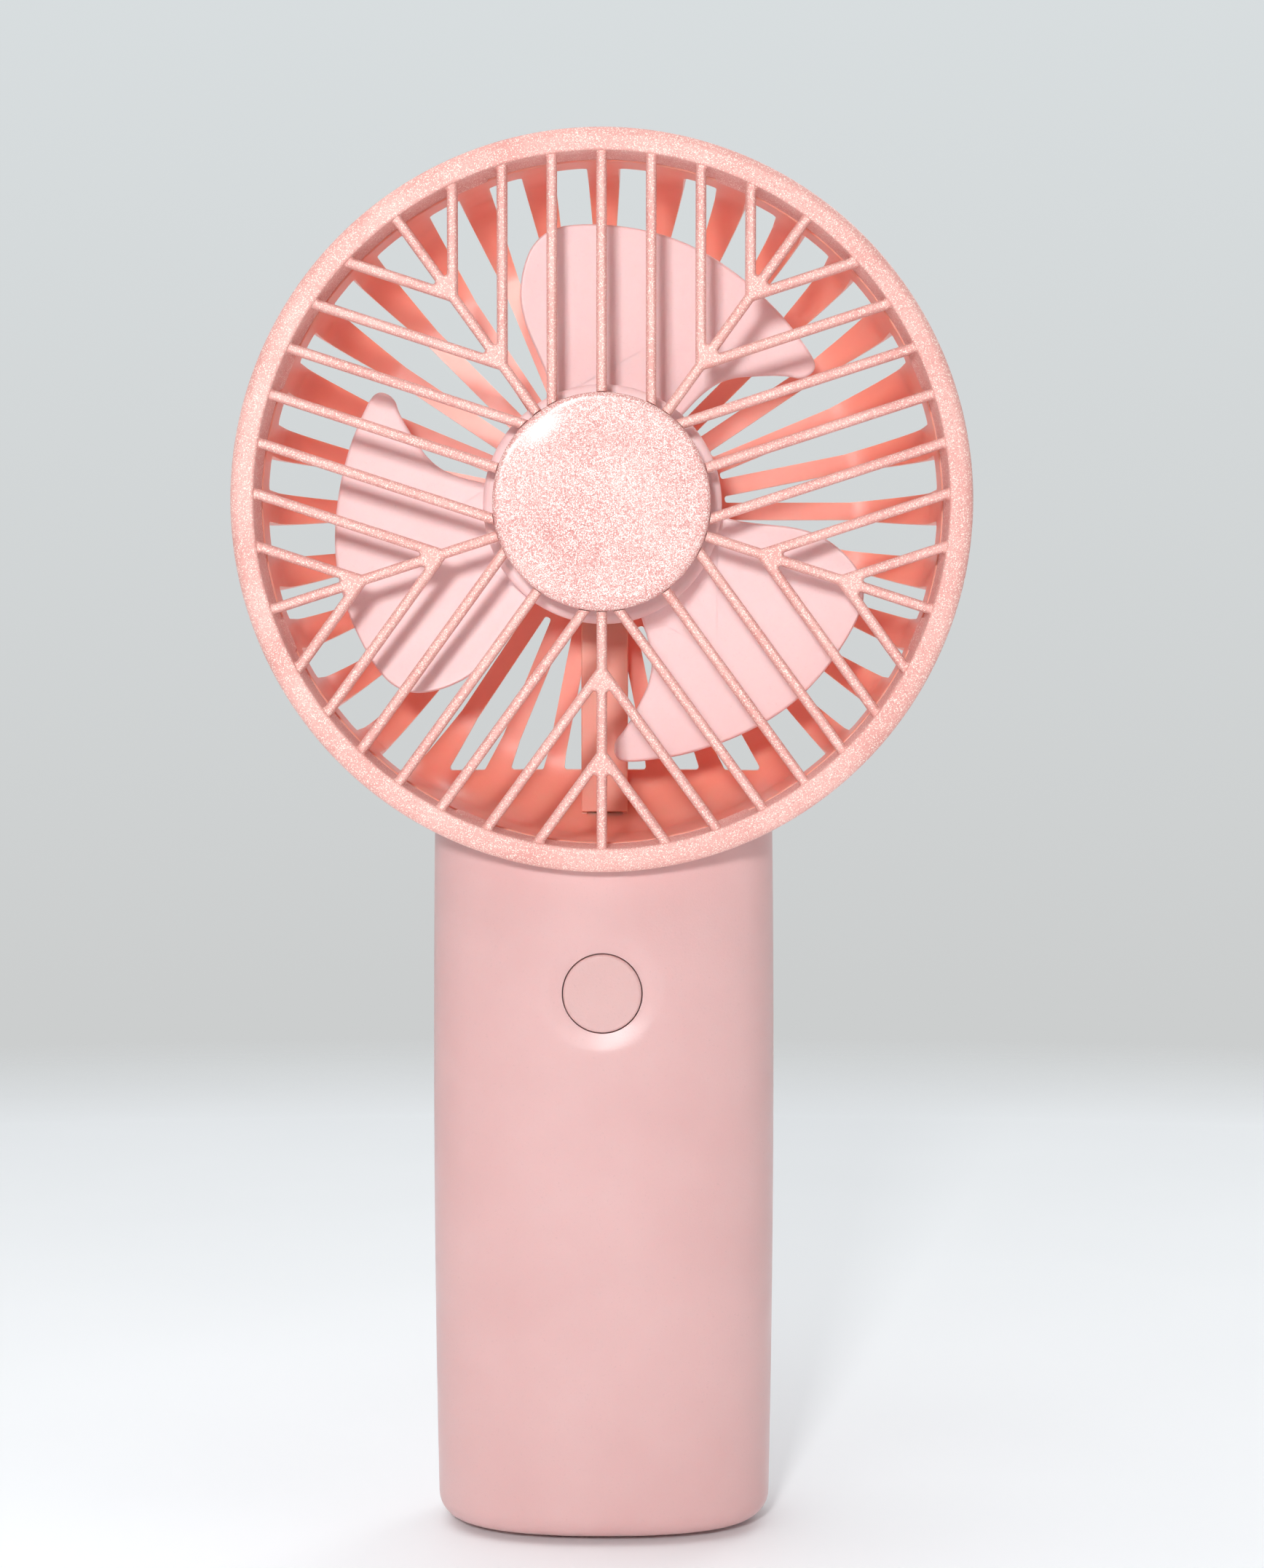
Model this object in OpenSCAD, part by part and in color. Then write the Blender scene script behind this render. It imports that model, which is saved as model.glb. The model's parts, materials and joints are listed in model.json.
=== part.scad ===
// Handheld electric fan: a round guarded head on an oval battery handle that stands on its base.
// It stands on the XY plane and faces -Y. The origin is the middle of the base. Millimetres.

/* [Head] */
// Outer diameter of the head's front ring
head_d = 100; // [100:0.5:102]
// Height of the fan's axis above the surface it stands on
axis_z = 144; // [144:0.5:146]
// Distance from the handle's middle plane to the front of the head
head_front = 20; // [20:0.5:22]
// Distance from the handle's middle plane to the back of the head
head_back = 15.5; // [15.5:0.25:16]
// Wall thickness of the bowl behind the ring
bowl_wall = 2; // [1.6:0.2:2.2]
// Radius of the bowl's rounded rear corner
bowl_corner_r = 12.8; // [11:0.2:13]
// Number of ribs in the rear grille
rib_count = 32; // [28:4:36]
// Width of a rear rib on the flat back
rib_w = 2.5; // [2.2:0.1:2.8]
// Width of a rear slot at the rim
slot_rim_w = 4.8; // [4.4:0.1:5]

/* [Front grille] */
// Width of the ring's front band
band_w = 3.2; // [3:0.1:3.4]
// Depth of the ring, front to back
ring_depth = 8; // [7:0.5:8.5]
// Number of sectors of parallel bars
sectors = 5; // [4:1:6]
// Distance between neighbouring bars
bar_pitch = 6.67; // [6.2:0.01:6.9]
// Width of a bar
bar_w = 1.4; // [1.2:0.1:1.8]
// Depth of a bar, front to back
bar_depth = 2.4; // [2:0.2:3]
// Radius of the centre disc
badge_r = 14.7; // [14:0.1:15]

/* [Impeller] */
// Number of blades
blades = 3; // [2:1:3]
// Outer radius of the hub
hub_r = 16.4; // [16:0.1:16.8]
// Tilt of the blades
blade_pitch = 12; // [8:1:14]
// Thickness of a blade
blade_t = 1.5; // [1.2:0.1:2]

/* [Handle] */
// Width of the handle at its middle
handle_w = 48.2; // [48:0.1:50]
// Depth of the handle, front to back
handle_d = 31; // [31:0.1:31.4]
// How much narrower each side is near the ends
barrel = 0.36; // [0:0.02:0.5]
// Wall thickness of the handle's shells
shell_wall = 1.8; // [1.6:0.1:1.9]
// Rounding of the handle's bottom edge
edge_r = 3.4; // [2.6:0.2:3.4]

/* [Button] */
// Height of the button's centre above the base
button_z = 77; // [76.5:0.5:77.5]
// Radius of the button
button_r = 5.4; // [5:0.1:5.6]
// Radius of the dished recess round the button
dish_r = 8; // [7.5:0.1:8.4]
// Depth of the dished recess
dish_depth = 0.8; // [0.5:0.1:1]

/* [Hidden] */
$fn = 96;

// Colours of the mouldings
pink = "#f4c4c2";
pearl = "#e9b6ae";
pale_pink = "#f8d4d4";

// Heights in the head are measured along its axis, forwards from the handle's middle plane.
head_r = head_d / 2;
fit_gap = 0.1;

// Bowl
bowl_r = head_r - 1.7;
bowl_in_r = bowl_r - bowl_wall;
bowl_flat_r = bowl_r - bowl_corner_r;
corner_z = bowl_corner_r - head_back;
floor_z = bowl_wall - head_back;
lip_t = 1.1;
lip_front = head_front - 2.7;
bowl_front = head_front - 7;
slot_front = head_front - 13;
slot_start_r = 17.5;
solid_chord = 37.6;
solid_half_w = 27;

// Ring
ring_in_r = head_r - band_w;
band_t = 2.5;
skirt_t = 1.5;
ring_back = head_front - ring_depth;
lug_count = 8;
lug_w = 5;
lug_len = 3.4;
lug_h = 0.7;

// Bars, and the plate in the middle that carries the centre disc
bar_front = head_front - 0.6;
plate_r = badge_r - 0.2;
plate_t = 1.8;
badge_t = 1.6;
badge_seat = head_front - badge_t;
peg_r = 1.95;

// Motor, measured along the head's axis
motor_r = 12.2;
can_wall = 0.8;
can_front = -0.9;
can_back = -11.2;
cap_back = -13.4;
cup_r = 14.2;
cup_front = -5;
bearing_r = 2.5;
shaft_r = 1;
running_gap = 0.03;
shaft_front = 9.5;
shaft_back = -13;
armature_r = 8.2;
magnet_in_r = 8.8;
commutator_r = 3;
terminal_x = 5;
terminal_low = -9.9;
terminal_high = -8.7;

// Impeller
hub_front = 11.8;
hub_back = -3;
hub_wall = 1.2;
hub_boss_r = 3.2;
hub_boss_back = 2.4;
blade_mid_z = 5.6;
blade_mid_angle = 74;
// The outline of a blade as angle and radius, anticlockwise from the hub as seen from the front
blade_outline = [[49, 15.8], [47, 22.5], [45, 25.5], [41, 28], [33, 32], [31.5, 34], [34, 35.3],
                 [51, 36.8], [68, 37.9], [82, 38.4], [97, 38.6], [104, 37.3], [109, 33.8],
                 [113.5, 28.7], [113, 19.5], [115, 15.8]];

// Wire channel on the back of the bowl, and the hole where it leaves for the handle
channel_w = 6.7;
channel_wall = 0.8;
channel_front = floor_z + 4.1;
channel_start = 13.6;
cover_t = 0.8;
wire_hole_w = 4.8;
wire_hole_back = floor_z + 0.7;
wire_hole_front = channel_front - 0.4;

// Neck of the housing, which the handle's shells clamp
neck_w = 22;
neck_d = 18;
neck_bottom = 82;
neck_wall = 1.6;
ear_w = 39;
ear_h = 8;
ear_t = 3;

// Handle
squareness = 2.4;
oval_points = 48;
slab_t = 0.02;
barrel_z = 61;
barrel_reach = 45;
base_gap = 0.8;
floor_t = 2.4;
handle_top = 105.5;
boss_top = 98;
parting_gap = 0.1;
pad_w = 38;
pad_d = 21;
pad_recess = 1.2;

// Handle screws, as x and height
top_screw = [15.5, 89];
bottom_screw = [16.5, 14];
boss_r = 3.3;
pilot_r = 0.95;
screw_hole_r = 1.35;
screw_head_r = 2.1;
screw_head_t = 1.6;
screw_seat = 7;
screw_tip = -6.5;
counterbore_r = 2.4;

// Button, switch and control board, measured forwards from the handle's middle plane
button_front = handle_d / 2 - 0.25;
button_gap = 0.15;
flange_r = button_r + 1.2;
flange_front = handle_d / 2 - shell_wall - 0.6;
flange_t = 1;
stem_r = 1.6;
board_back = 6.9;
board_t = 1.2;
board_w = 20;
board_bottom = 58;
board_top = 80.5;
switch_w = 6.2;
switch_t = 2;
plunger_r = 1.7;
plunger_front = 11.4;
plunger_back = 9.2;
standoff = [7.2, 61.5];
standoff_r = 2;

// Cell, standing behind the control board
cell_r = 9.1;
cell_len = 65;
cell_bottom = 14.5;
cell_y = 3.9;
tab_t = 0.3;
foam_t = 1.6;
foam_w = 12;
foam_h = 20;
foam_bottom = 29;

// Charging board, lying in the bottom with its socket at the back
charge_z = 4.6;
charge_t = 1;
charge_w = 20;
charge_y0 = -6;
charge_y1 = 9.5;
usb_w = 8.94;
usb_h = 3.26;
usb_y0 = 7.9;
usb_y1 = 15.1;
usb_wall = 0.3;
pipe_x = 7.6;
pipe_z = 7.2;
pipe_r = 0.9;

// Leads
lead_r = 0.6;
lead_sides = 8;
lead_steps = 4;

// Puts a shape drawn in the head's own frame, +Z towards the front, at a height above the base.
module facing(height) {
    translate([0, 0, height]) rotate([90, 0, 0]) children();
}

// A tube or disc between two distances along the axis.
module ring(r, from, to, bore = 0) {
    translate([0, 0, from]) difference() {
        cylinder(r = r, h = to - from);
        if (bore > 0) translate([0, 0, -1]) cylinder(r = bore, h = to - from + 2);
    }
}

// A box from one corner to the opposite one.
module block(low, high) {
    translate(low) cube(high - low);
}

// ---- Head ----

module front_ring() {
    rotate_extrude() polygon([
        [ring_in_r, head_front - 0.2], [ring_in_r + 0.2, head_front],
        [head_r - 1.1, head_front], [head_r - 0.4, head_front - 0.4], [head_r, head_front - 1.3],
        [head_r, ring_back], [head_r - skirt_t, ring_back],
        [head_r - skirt_t, head_front - band_t],
        [bowl_in_r + bowl_wall - lip_t - fit_gap, head_front - band_t],
        [bowl_in_r + bowl_wall - lip_t - fit_gap, bowl_front + fit_gap],
        [ring_in_r - 0.3, bowl_front + fit_gap]
    ]);
}

// A straight bar of the grille, along +X from one distance to another at a sideways offset.
module bar(offset, from, to) {
    block([from, offset - bar_w / 2, bar_front - bar_depth], [to, offset + bar_w / 2, bar_front]);
}

// One sector: bars parallel to its bisector, ending on the spines at both sides.
module sector() {
    half = 180 / sectors;
    reach = ring_in_r + 1;
    bars_each_side = floor(ring_in_r * sin(half) / bar_pitch - 0.5);
    for (k = [-bars_each_side : bars_each_side]) {
        offset = k * bar_pitch;
        start = k == 0 ? plate_r - 2 : abs(offset) / tan(half);
        bar(offset, start, sqrt(reach * reach - offset * offset));
    }
    rotate(half) bar(0, plate_r - 2, reach);
}

// A small wedge on the ring's inner lip, which the bowl's rim snaps over.
module lug() {
    rotate([90, 0, 0]) translate([0, 0, -lug_w / 2]) linear_extrude(lug_w) polygon([
        [ring_in_r, bowl_front + 0.3], [ring_in_r - lug_h, bowl_front + 0.3],
        [ring_in_r, bowl_front + lug_len]
    ]);
}

module front_grille() color(pearl) facing(axis_z) difference() {
    union() {
        front_ring();
        ring(plate_r, badge_seat - plate_t, badge_seat);
        // The bars end inside the ring's inner lip
        intersection() {
            for (s = [0 : sectors - 1]) rotate(90 + s * 360 / sectors) sector();
            ring(ring_in_r + 0.25, 0, head_front);
        }
        for (k = [0 : lug_count - 1]) rotate((k + 0.5) * 360 / lug_count) lug();
    }
    ring(badge_r + fit_gap, badge_seat, head_front + 1);
    ring(peg_r + fit_gap, badge_seat - plate_t - 1, head_front);
}

module grille_badge() color(pearl) facing(axis_z) {
    rotate_extrude() polygon([
        [0, badge_seat - 1.5], [peg_r, badge_seat - 1.5], [peg_r, badge_seat],
        [badge_r, badge_seat], [badge_r, head_front - 0.3], [badge_r - 0.5, head_front],
        [0, head_front - 0.2]
    ]);
}

// The bowl's outer shape, grown by a gap for the parts that fit against it.
module bowl_solid(grow) {
    rotate_extrude() {
        translate([0, corner_z]) square([bowl_r + grow, lip_front - corner_z]);
        translate([0, -head_back - grow]) square([bowl_flat_r, bowl_corner_r + grow]);
        intersection() {
            translate([bowl_flat_r, corner_z]) circle(r = bowl_corner_r + grow);
            translate([bowl_flat_r, corner_z - 2 * bowl_corner_r])
                square([2 * bowl_corner_r, 2 * bowl_corner_r]);
        }
    }
}

// The bowl's wall, revolved from one outline: straight side, round corner, flat back.
module bowl_shell() {
    rotate_extrude() {
        translate([bowl_in_r, corner_z]) square([bowl_wall, bowl_front - corner_z]);
        translate([bowl_r - lip_t, bowl_front]) square([lip_t, lip_front - bowl_front]);
        translate([0, -head_back]) square([bowl_flat_r, bowl_wall]);
        intersection() {
            translate([bowl_flat_r, corner_z]) difference() {
                circle(r = bowl_corner_r);
                circle(r = bowl_corner_r - bowl_wall);
            }
            translate([bowl_flat_r, corner_z - 2 * bowl_corner_r])
                square([2 * bowl_corner_r, 2 * bowl_corner_r]);
        }
    }
}

// One slot of the rear grille, cut forwards from the back and out through the side.
module rear_slot() {
    pitch = 2 * PI / rib_count;
    start_w = slot_start_r * pitch - rib_w;
    flat_w = bowl_flat_r * pitch - rib_w;
    translate([0, 0, -head_back - 1]) linear_extrude(slot_front + head_back + 1) polygon([
        [slot_start_r, -start_w / 2], [bowl_flat_r, -flat_w / 2], [bowl_r + 2, -slot_rim_w / 2],
        [bowl_r + 2, slot_rim_w / 2], [bowl_flat_r, flat_w / 2], [slot_start_r, start_w / 2]
    ]);
}

module rear_slots() difference() {
    for (k = [0 : rib_count - 1]) rotate((k + 0.5) * 360 / rib_count) rear_slot();
    block([-solid_half_w, -head_r - 5, -head_back - 2], [solid_half_w, -solid_chord, head_front]);
}

// The hollow neck and its screw ears, drawn from the axis down.
module neck() {
    drop = neck_bottom - axis_z;
    ear_y = top_screw[1] - axis_z;
    difference() {
        union() {
            block([-neck_w / 2, drop, -neck_d / 2], [neck_w / 2, -bowl_in_r - 0.7, neck_d / 2]);
            block([-ear_w / 2, ear_y - ear_h / 2, -ear_t / 2], [ear_w / 2, ear_y + ear_h / 2, ear_t / 2]);
        }
        block([neck_wall - neck_w / 2, drop - 1, neck_wall - neck_d / 2],
              [neck_w / 2 - neck_wall, -bowl_r - 0.2, neck_d / 2 - neck_wall]);
        for (side = [-1, 1]) translate([side * top_screw[0], ear_y, -ear_t])
            cylinder(r = screw_hole_r, h = 2 * ear_t);
    }
}

module head_housing() color(pink) facing(axis_z) difference() {
    union() {
        difference() {
            bowl_shell();
            rear_slots();
        }
        ring(cup_r, floor_z - 0.5, cup_front, motor_r + fit_gap);
        intersection() {
            bowl_solid(-bowl_wall / 2);
            for (side = [-1, 1]) translate([side * (channel_w - channel_wall) / 2, 0, 0])
                block([-channel_wall / 2, -bowl_r, floor_z - 0.5],
                      [channel_wall / 2, -channel_start, channel_front]);
        }
        neck();
    }
    // Way out of the motor cup for the leads
    block([-wire_hole_w / 2, -cup_r - 1, floor_z], [wire_hole_w / 2, -motor_r + 1, cup_front + 1]);
    // Way out of the bowl's rounded corner, behind the neck
    block([-wire_hole_w / 2, -bowl_r - 1, wire_hole_back], [wire_hole_w / 2, -bowl_flat_r, wire_hole_front]);
}

module wire_cover() color(pink) facing(axis_z) {
    inner = channel_w / 2 - channel_wall - fit_gap;
    block([-channel_w / 2, -bowl_flat_r - 8, channel_front + 0.02],
          [channel_w / 2, -cup_r - 0.6, channel_front + cover_t]);
    for (side = [-1, 1]) translate([side * (inner - 0.3), 0, 0])
        block([-0.3, -bowl_flat_r, channel_front - 1], [0.3, -cup_r - 2, channel_front + 0.1]);
}

// ---- Impeller and motor ----

module blade() intersection() {
    translate([0, 0, hub_back]) linear_extrude(hub_front - hub_back) polygon([
        for (p = blade_outline) [p[1] * cos(p[0]), p[1] * sin(p[0])]
    ]);
    translate([0, 0, blade_mid_z]) rotate(blade_mid_angle) rotate([blade_pitch, 0, 0])
        block([0, -head_r, -blade_t / 2], [head_r, head_r, blade_t / 2]);
}

module impeller() color(pale_pink) facing(axis_z) {
    rotate_extrude() polygon([
        [0, hub_front], [hub_r - 1, hub_front], [hub_r, hub_front - 1], [hub_r, hub_back],
        [hub_r - hub_wall, hub_back], [hub_r - hub_wall, hub_front - 1.6],
        [hub_boss_r, hub_front - 1.6], [hub_boss_r, hub_boss_back], [shaft_r, hub_boss_back],
        [shaft_r, shaft_front + 0.1], [0, shaft_front + 0.1]
    ]);
    for (k = [0 : blades - 1]) rotate(k * 360 / blades) blade();
}

module motor_shaft() color("silver") facing(axis_z) ring(shaft_r, shaft_back, shaft_front);

// Three-pole armature, with its windings, pressed on the shaft.
module motor_armature() color("#b5651d") facing(axis_z) {
    ring(4.2, -8.8, -2.6, shaft_r);
    for (k = [0 : 2]) rotate(k * 120) {
        block([3.9, -2.4, -8.6], [6.4, 2.4, -2.8]);
        intersection() {
            ring(armature_r, -8.2, -3.2, 6.3);
            rotate(45) block([0, 0, -9], [9, 9, 0]);
        }
    }
}

module motor_commutator() color("#c98b4a") facing(axis_z) ring(commutator_r, -11, -9.1, shaft_r);

module motor_can() color("silver") facing(axis_z) {
    rotate_extrude() polygon([
        [bearing_r, can_front + 1.3], [bearing_r + 0.6, can_front + 1.3], [bearing_r + 0.6, can_front],
        [motor_r - 0.6, can_front], [motor_r, can_front - 0.6], [motor_r, can_back],
        [motor_r - can_wall, can_back], [motor_r - can_wall, can_front - can_wall],
        [bearing_r, can_front - can_wall]
    ]);
}

module motor_magnets() color("dimgray") facing(axis_z) for (side = [0, 180]) rotate(side)
    intersection() {
        ring(motor_r - can_wall, -9.5, -2.2, magnet_in_r);
        block([-12, 1.5, -10], [12, 13, -2]);
    }

module motor_end_cap() color("ivory") facing(axis_z) difference() {
    union() {
        ring(motor_r, cap_back, can_back);
        ring(motor_r - can_wall, can_back - 0.1, can_back + 1.2, motor_r - can_wall - 1);
    }
    ring(bearing_r, cap_back + 0.4, can_back + 2);
    for (side = [-1, 1])
        block([side * terminal_x - 0.5, terminal_low - 0.1, cap_back - 1],
              [side * terminal_x + 0.5, terminal_high + 0.1, 0]);
}

// Two spring-leaf brushes that lie beside the commutator.
module motor_brushes() color("#c98b4a") facing(axis_z) for (side = [-1, 1])
    translate([side * (commutator_r + 0.25), 0, 0]) block([-0.2, -7.5, -10.6], [0.2, 3, -9.6]);

module motor_terminals() color("silver") facing(axis_z) for (side = [-1, 1])
    block([side * terminal_x - 0.4, terminal_low, cap_back - 0.05],
          [side * terminal_x + 0.4, terminal_high, can_back + 0.6]);

module motor_front_bearing() color("#b08d57") facing(axis_z)
    ring(bearing_r, can_front - can_wall, can_front + 1.1, shaft_r + running_gap);

module motor_rear_bearing() color("#b08d57") facing(axis_z)
    ring(bearing_r, cap_back + 0.4, can_back + 0.1, shaft_r + running_gap);

// ---- Handle ----

function half_width(z) = handle_w / 2 - barrel * pow((z - barrel_z) / barrel_reach, 2);
function bulge(value) = sign(value) * pow(abs(value), 2 / squareness);
function oval(a, b) = [
    for (k = [0 : oval_points - 1])
        let (t = 360 * k / oval_points) [a * bulge(cos(t)), b * bulge(sin(t))]
];

// A thin slice of the handle at one height, drawn in from its outer surface.
module slab(z, inset) {
    translate([0, 0, z]) linear_extrude(slab_t)
        polygon(oval(half_width(z) - inset, handle_d / 2 - inset));
}

// The handle's solid form, drawn in by a wall thickness.
module handle_solid(inset, bottom, round_r, top) {
    hull() {
        for (a = [0, 30, 60, 90])
            slab(bottom + round_r * (1 - cos(a)), inset + round_r * (1 - sin(a)));
        for (z = [33, barrel_z, 87, top - slab_t]) slab(z, inset);
    }
}

module handle_wall() difference() {
    handle_solid(0, base_gap, edge_r, handle_top);
    handle_solid(shell_wall, base_gap + floor_t, edge_r - shell_wall, handle_top - 2);
    facing(axis_z) bowl_solid(fit_gap);
    facing(axis_z) ring(head_r + fit_gap, ring_back - fit_gap, head_front + 5);
    linear_extrude(base_gap + pad_recess) polygon(oval(pad_w / 2 + fit_gap, pad_d / 2 + fit_gap));
}

// Keeps what lies in front of the parting plane, or behind it.
module half_of(front) intersection() {
    children();
    if (front) block([-60, -40, -5], [60, -parting_gap / 2, 120]);
    else block([-60, parting_gap / 2, -5], [60, 40, 120]);
}

module at_screws() {
    for (side = [-1, 1]) {
        translate([side * top_screw[0], 0, top_screw[1]]) rotate([90, 0, 0]) children();
        translate([side * bottom_screw[0], 0, bottom_screw[1]]) rotate([90, 0, 0]) children();
    }
}

// Leaves the band round the parting plane where the neck's ears are clamped.
module boss_room() block([-60, -ear_t / 2 - 0.1, 0], [60, ear_t / 2 + 0.1, 200]);

module handle_front() color(pink) difference() {
    union() {
        half_of(true) handle_wall();
        intersection() {
            handle_solid(shell_wall / 2, base_gap + floor_t / 2, edge_r - shell_wall, boss_top);
            difference() {
                union() {
                    at_screws() ring(boss_r, parting_gap + 0.1, handle_d / 2);
                    for (side = [-1, 1]) translate([side * standoff[0], 0, standoff[1]])
                        rotate([90, 0, 0]) ring(standoff_r, board_back + board_t, handle_d / 2);
                    // Ribs that press the foam on the cell
                    for (side = [-1, 1]) translate([side * 4, 0, 0])
                        block([-0.7, -handle_d / 2, foam_bottom],
                              [0.7, cell_y - cell_r - foam_t - 0.1, foam_bottom + foam_h]);
                }
                intersection() {
                    boss_room();
                    translate([0, 0, top_screw[1] - 10]) block([-60, -5, 0], [60, 5, 20]);
                }
            }
        }
    }
    at_screws() ring(pilot_r, -1, 9.5);
    for (side = [-1, 1]) translate([side * standoff[0], 0, standoff[1]]) rotate([90, 0, 0])
        ring(0.8, 0, 12.4);
    facing(button_z) {
        ring(button_r + button_gap, 10, handle_d);
        sphere_r = (dish_r * dish_r + dish_depth * dish_depth) / (2 * dish_depth);
        translate([0, 0, handle_d / 2 - dish_depth + sphere_r]) sphere(r = sphere_r);
    }
}

module handle_rear() color(pink) difference() {
    union() {
        half_of(false) handle_wall();
        intersection() {
            handle_solid(shell_wall / 2, base_gap + floor_t / 2, edge_r - shell_wall, boss_top);
            difference() {
                union() {
                    at_screws() ring(boss_r, -handle_d / 2, -parting_gap - 0.1);
                    // Saddles that hold the cell
                    for (z = [25, 67]) difference() {
                        block([-11, 2, z], [11, handle_d / 2, z + 1.6]);
                        translate([0, cell_y, z - 1]) cylinder(r = cell_r + 0.1, h = 4);
                    }
                    // Ledges under the charging board
                    for (side = [-1, 1]) block([side * 8.5 - 1, 1, 2], [side * 8.5 + 1, 12, charge_z]);
                }
                intersection() {
                    boss_room();
                    translate([0, 0, top_screw[1] - 10]) block([-60, -5, 0], [60, 5, 20]);
                }
            }
        }
    }
    at_screws() ring(screw_hole_r, -screw_seat - 1, 1);
    at_screws() ring(counterbore_r, -handle_d, -screw_seat);
    // Mouth of the charging socket
    translate([0, usb_y0 + 3, charge_z + charge_t + usb_h / 2]) rotate([-90, 0, 0]) {
        for (side = [-1, 1]) translate([side * (usb_w - usb_h) / 2, 0, 0])
            cylinder(r = usb_h / 2 + 0.15, h = 10);
        block([(usb_h - usb_w) / 2, -usb_h / 2 - 0.15, 0], [(usb_w - usb_h) / 2, usb_h / 2 + 0.15, 10]);
    }
    translate([pipe_x, usb_y0, pipe_z]) rotate([-90, 0, 0]) cylinder(r = pipe_r + fit_gap, h = 12);
}

module base_pad() color("#e8b4b4") linear_extrude(base_gap + pad_recess - 0.05)
    polygon(oval(pad_w / 2, pad_d / 2));

module handle_screws() color("silver") at_screws() difference() {
    union() {
        ring(screw_head_r, -screw_seat - screw_head_t, -screw_seat);
        ring(pilot_r - 0.02, -screw_seat, -screw_tip);
    }
    for (a = [0, 90]) rotate(a)
        block([-1.3, -0.25, -screw_seat - screw_head_t - 1], [1.3, 0.25, -screw_seat - 0.8]);
}

// ---- Button, switch and boards ----

module button() color(pink) facing(button_z) rotate_extrude() polygon([
    [0, plunger_front + 0.02], [stem_r, plunger_front + 0.02], [stem_r, flange_front - flange_t],
    [flange_r, flange_front - flange_t], [flange_r, flange_front], [button_r, flange_front],
    [button_r, button_front - 0.4], [button_r - 0.4, button_front - 0.05], [0, button_front]
]);

module switch_body() color("#30343a") facing(button_z) difference() {
    block([-switch_w / 2, -switch_w / 2, board_back + board_t],
          [switch_w / 2, switch_w / 2, board_back + board_t + switch_t]);
    ring(plunger_r + 0.05, board_back + board_t + 0.5, 20);
}

module switch_plunger() color("white") facing(button_z) ring(plunger_r, plunger_back, plunger_front);

module control_board() color("seagreen") facing(0) difference() {
    block([-board_w / 2, board_bottom, board_back], [board_w / 2, board_top, board_back + board_t]);
    for (side = [-1, 1]) translate([side * standoff[0], standoff[1], 0]) ring(1, 0, 12);
}

module control_chip() color("#222222") facing(0)
    block([-2.5, 65, board_back + board_t], [2.5, 69, board_back + board_t + 1.5]);

module board_capacitors() color("tan") facing(0) for (x = [-7.5, -5, 5])
    block([x, 66, board_back + board_t], [x + 1.2, 68, board_back + board_t + 1]);

module board_screws() color("silver") for (side = [-1, 1])
    translate([side * standoff[0], 0, standoff[1]]) rotate([90, 0, 0]) {
        ring(1.6, board_back - 1.1, board_back);
        ring(0.78, board_back - 0.1, 11.5);
    }

module charge_board() color("seagreen")
    block([-charge_w / 2, charge_y0, charge_z], [charge_w / 2, charge_y1, charge_z + charge_t]);

// The rounded tube of the charging socket, drawn lengthwise along +Z.
module usb_tube(grow, length) {
    r = usb_h / 2 + grow;
    for (side = [-1, 1]) translate([side * (usb_w - usb_h) / 2, 0, 0]) cylinder(r = r, h = length);
    block([(usb_h - usb_w) / 2, -r, 0], [(usb_w - usb_h) / 2, r, length]);
}

module usb_c_shell() color("silver")
    translate([0, usb_y0, charge_z + charge_t + usb_h / 2]) rotate([-90, 0, 0]) difference() {
        usb_tube(-0.01, usb_y1 - usb_y0);
        translate([0, 0, 1]) usb_tube(-usb_wall, usb_y1 - usb_y0);
    }

module usb_c_tongue() color("#222222") block(
    [-3.3, usb_y0 + 1, charge_z + charge_t + usb_h / 2 - 0.35],
    [3.3, usb_y1 - 1, charge_z + charge_t + usb_h / 2 + 0.35]);

module charge_chip() color("#222222")
    block([-7.5, -3, charge_z + charge_t], [-3.5, 1, charge_z + charge_t + 1.4]);

module charge_inductor() color("dimgray")
    block([-1, -4, charge_z + charge_t], [4, 1, charge_z + charge_t + 3]);

module charge_led() color("white")
    block([pipe_x - 0.8, 6.2, charge_z + charge_t], [pipe_x + 0.8, 7.8, charge_z + charge_t + 1.9]);

module light_pipe() color("white") translate([pipe_x, 7.9, pipe_z]) rotate([-90, 0, 0])
    cylinder(r = pipe_r, h = 6.6);

module battery_cell() color("#3aa6a0") translate([0, cell_y, cell_bottom]) {
    cylinder(r = cell_r, h = cell_len);
    cylinder(r = 2.8, h = cell_len + 0.6);
}

module battery_tabs() color("silver") {
    block([-3, cell_y - 8, cell_bottom - tab_t], [3, cell_y + 2, cell_bottom - 0.01]);
    block([-2.5, cell_y - 8, cell_bottom + cell_len + 0.61],
          [2.5, cell_y + 2, cell_bottom + cell_len + 0.6 + tab_t]);
}

module battery_foam() color("#555555") block(
    [-foam_w / 2, cell_y - cell_r - foam_t - 0.05, foam_bottom],
    [foam_w / 2, cell_y - cell_r - 0.05, foam_bottom + foam_h]);

// ---- Leads ----

function unit(v) = v / norm(v);
// A point on the smooth curve through four neighbouring points
function curve_point(a, b, c, d, t) = 0.5 * (2 * b + (c - a) * t + (2 * a - 5 * b + 4 * c - d) * t * t
    + (3 * b - a - 3 * c + d) * t * t * t);
function smooth(p) = let (n = len(p)) concat([
    for (i = [0 : n - 2], k = [0 : lead_steps - 1])
        curve_point(p[max(i - 1, 0)], p[i], p[i + 1], p[min(i + 2, n - 1)], k / lead_steps)
], [p[n - 1]]);

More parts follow.
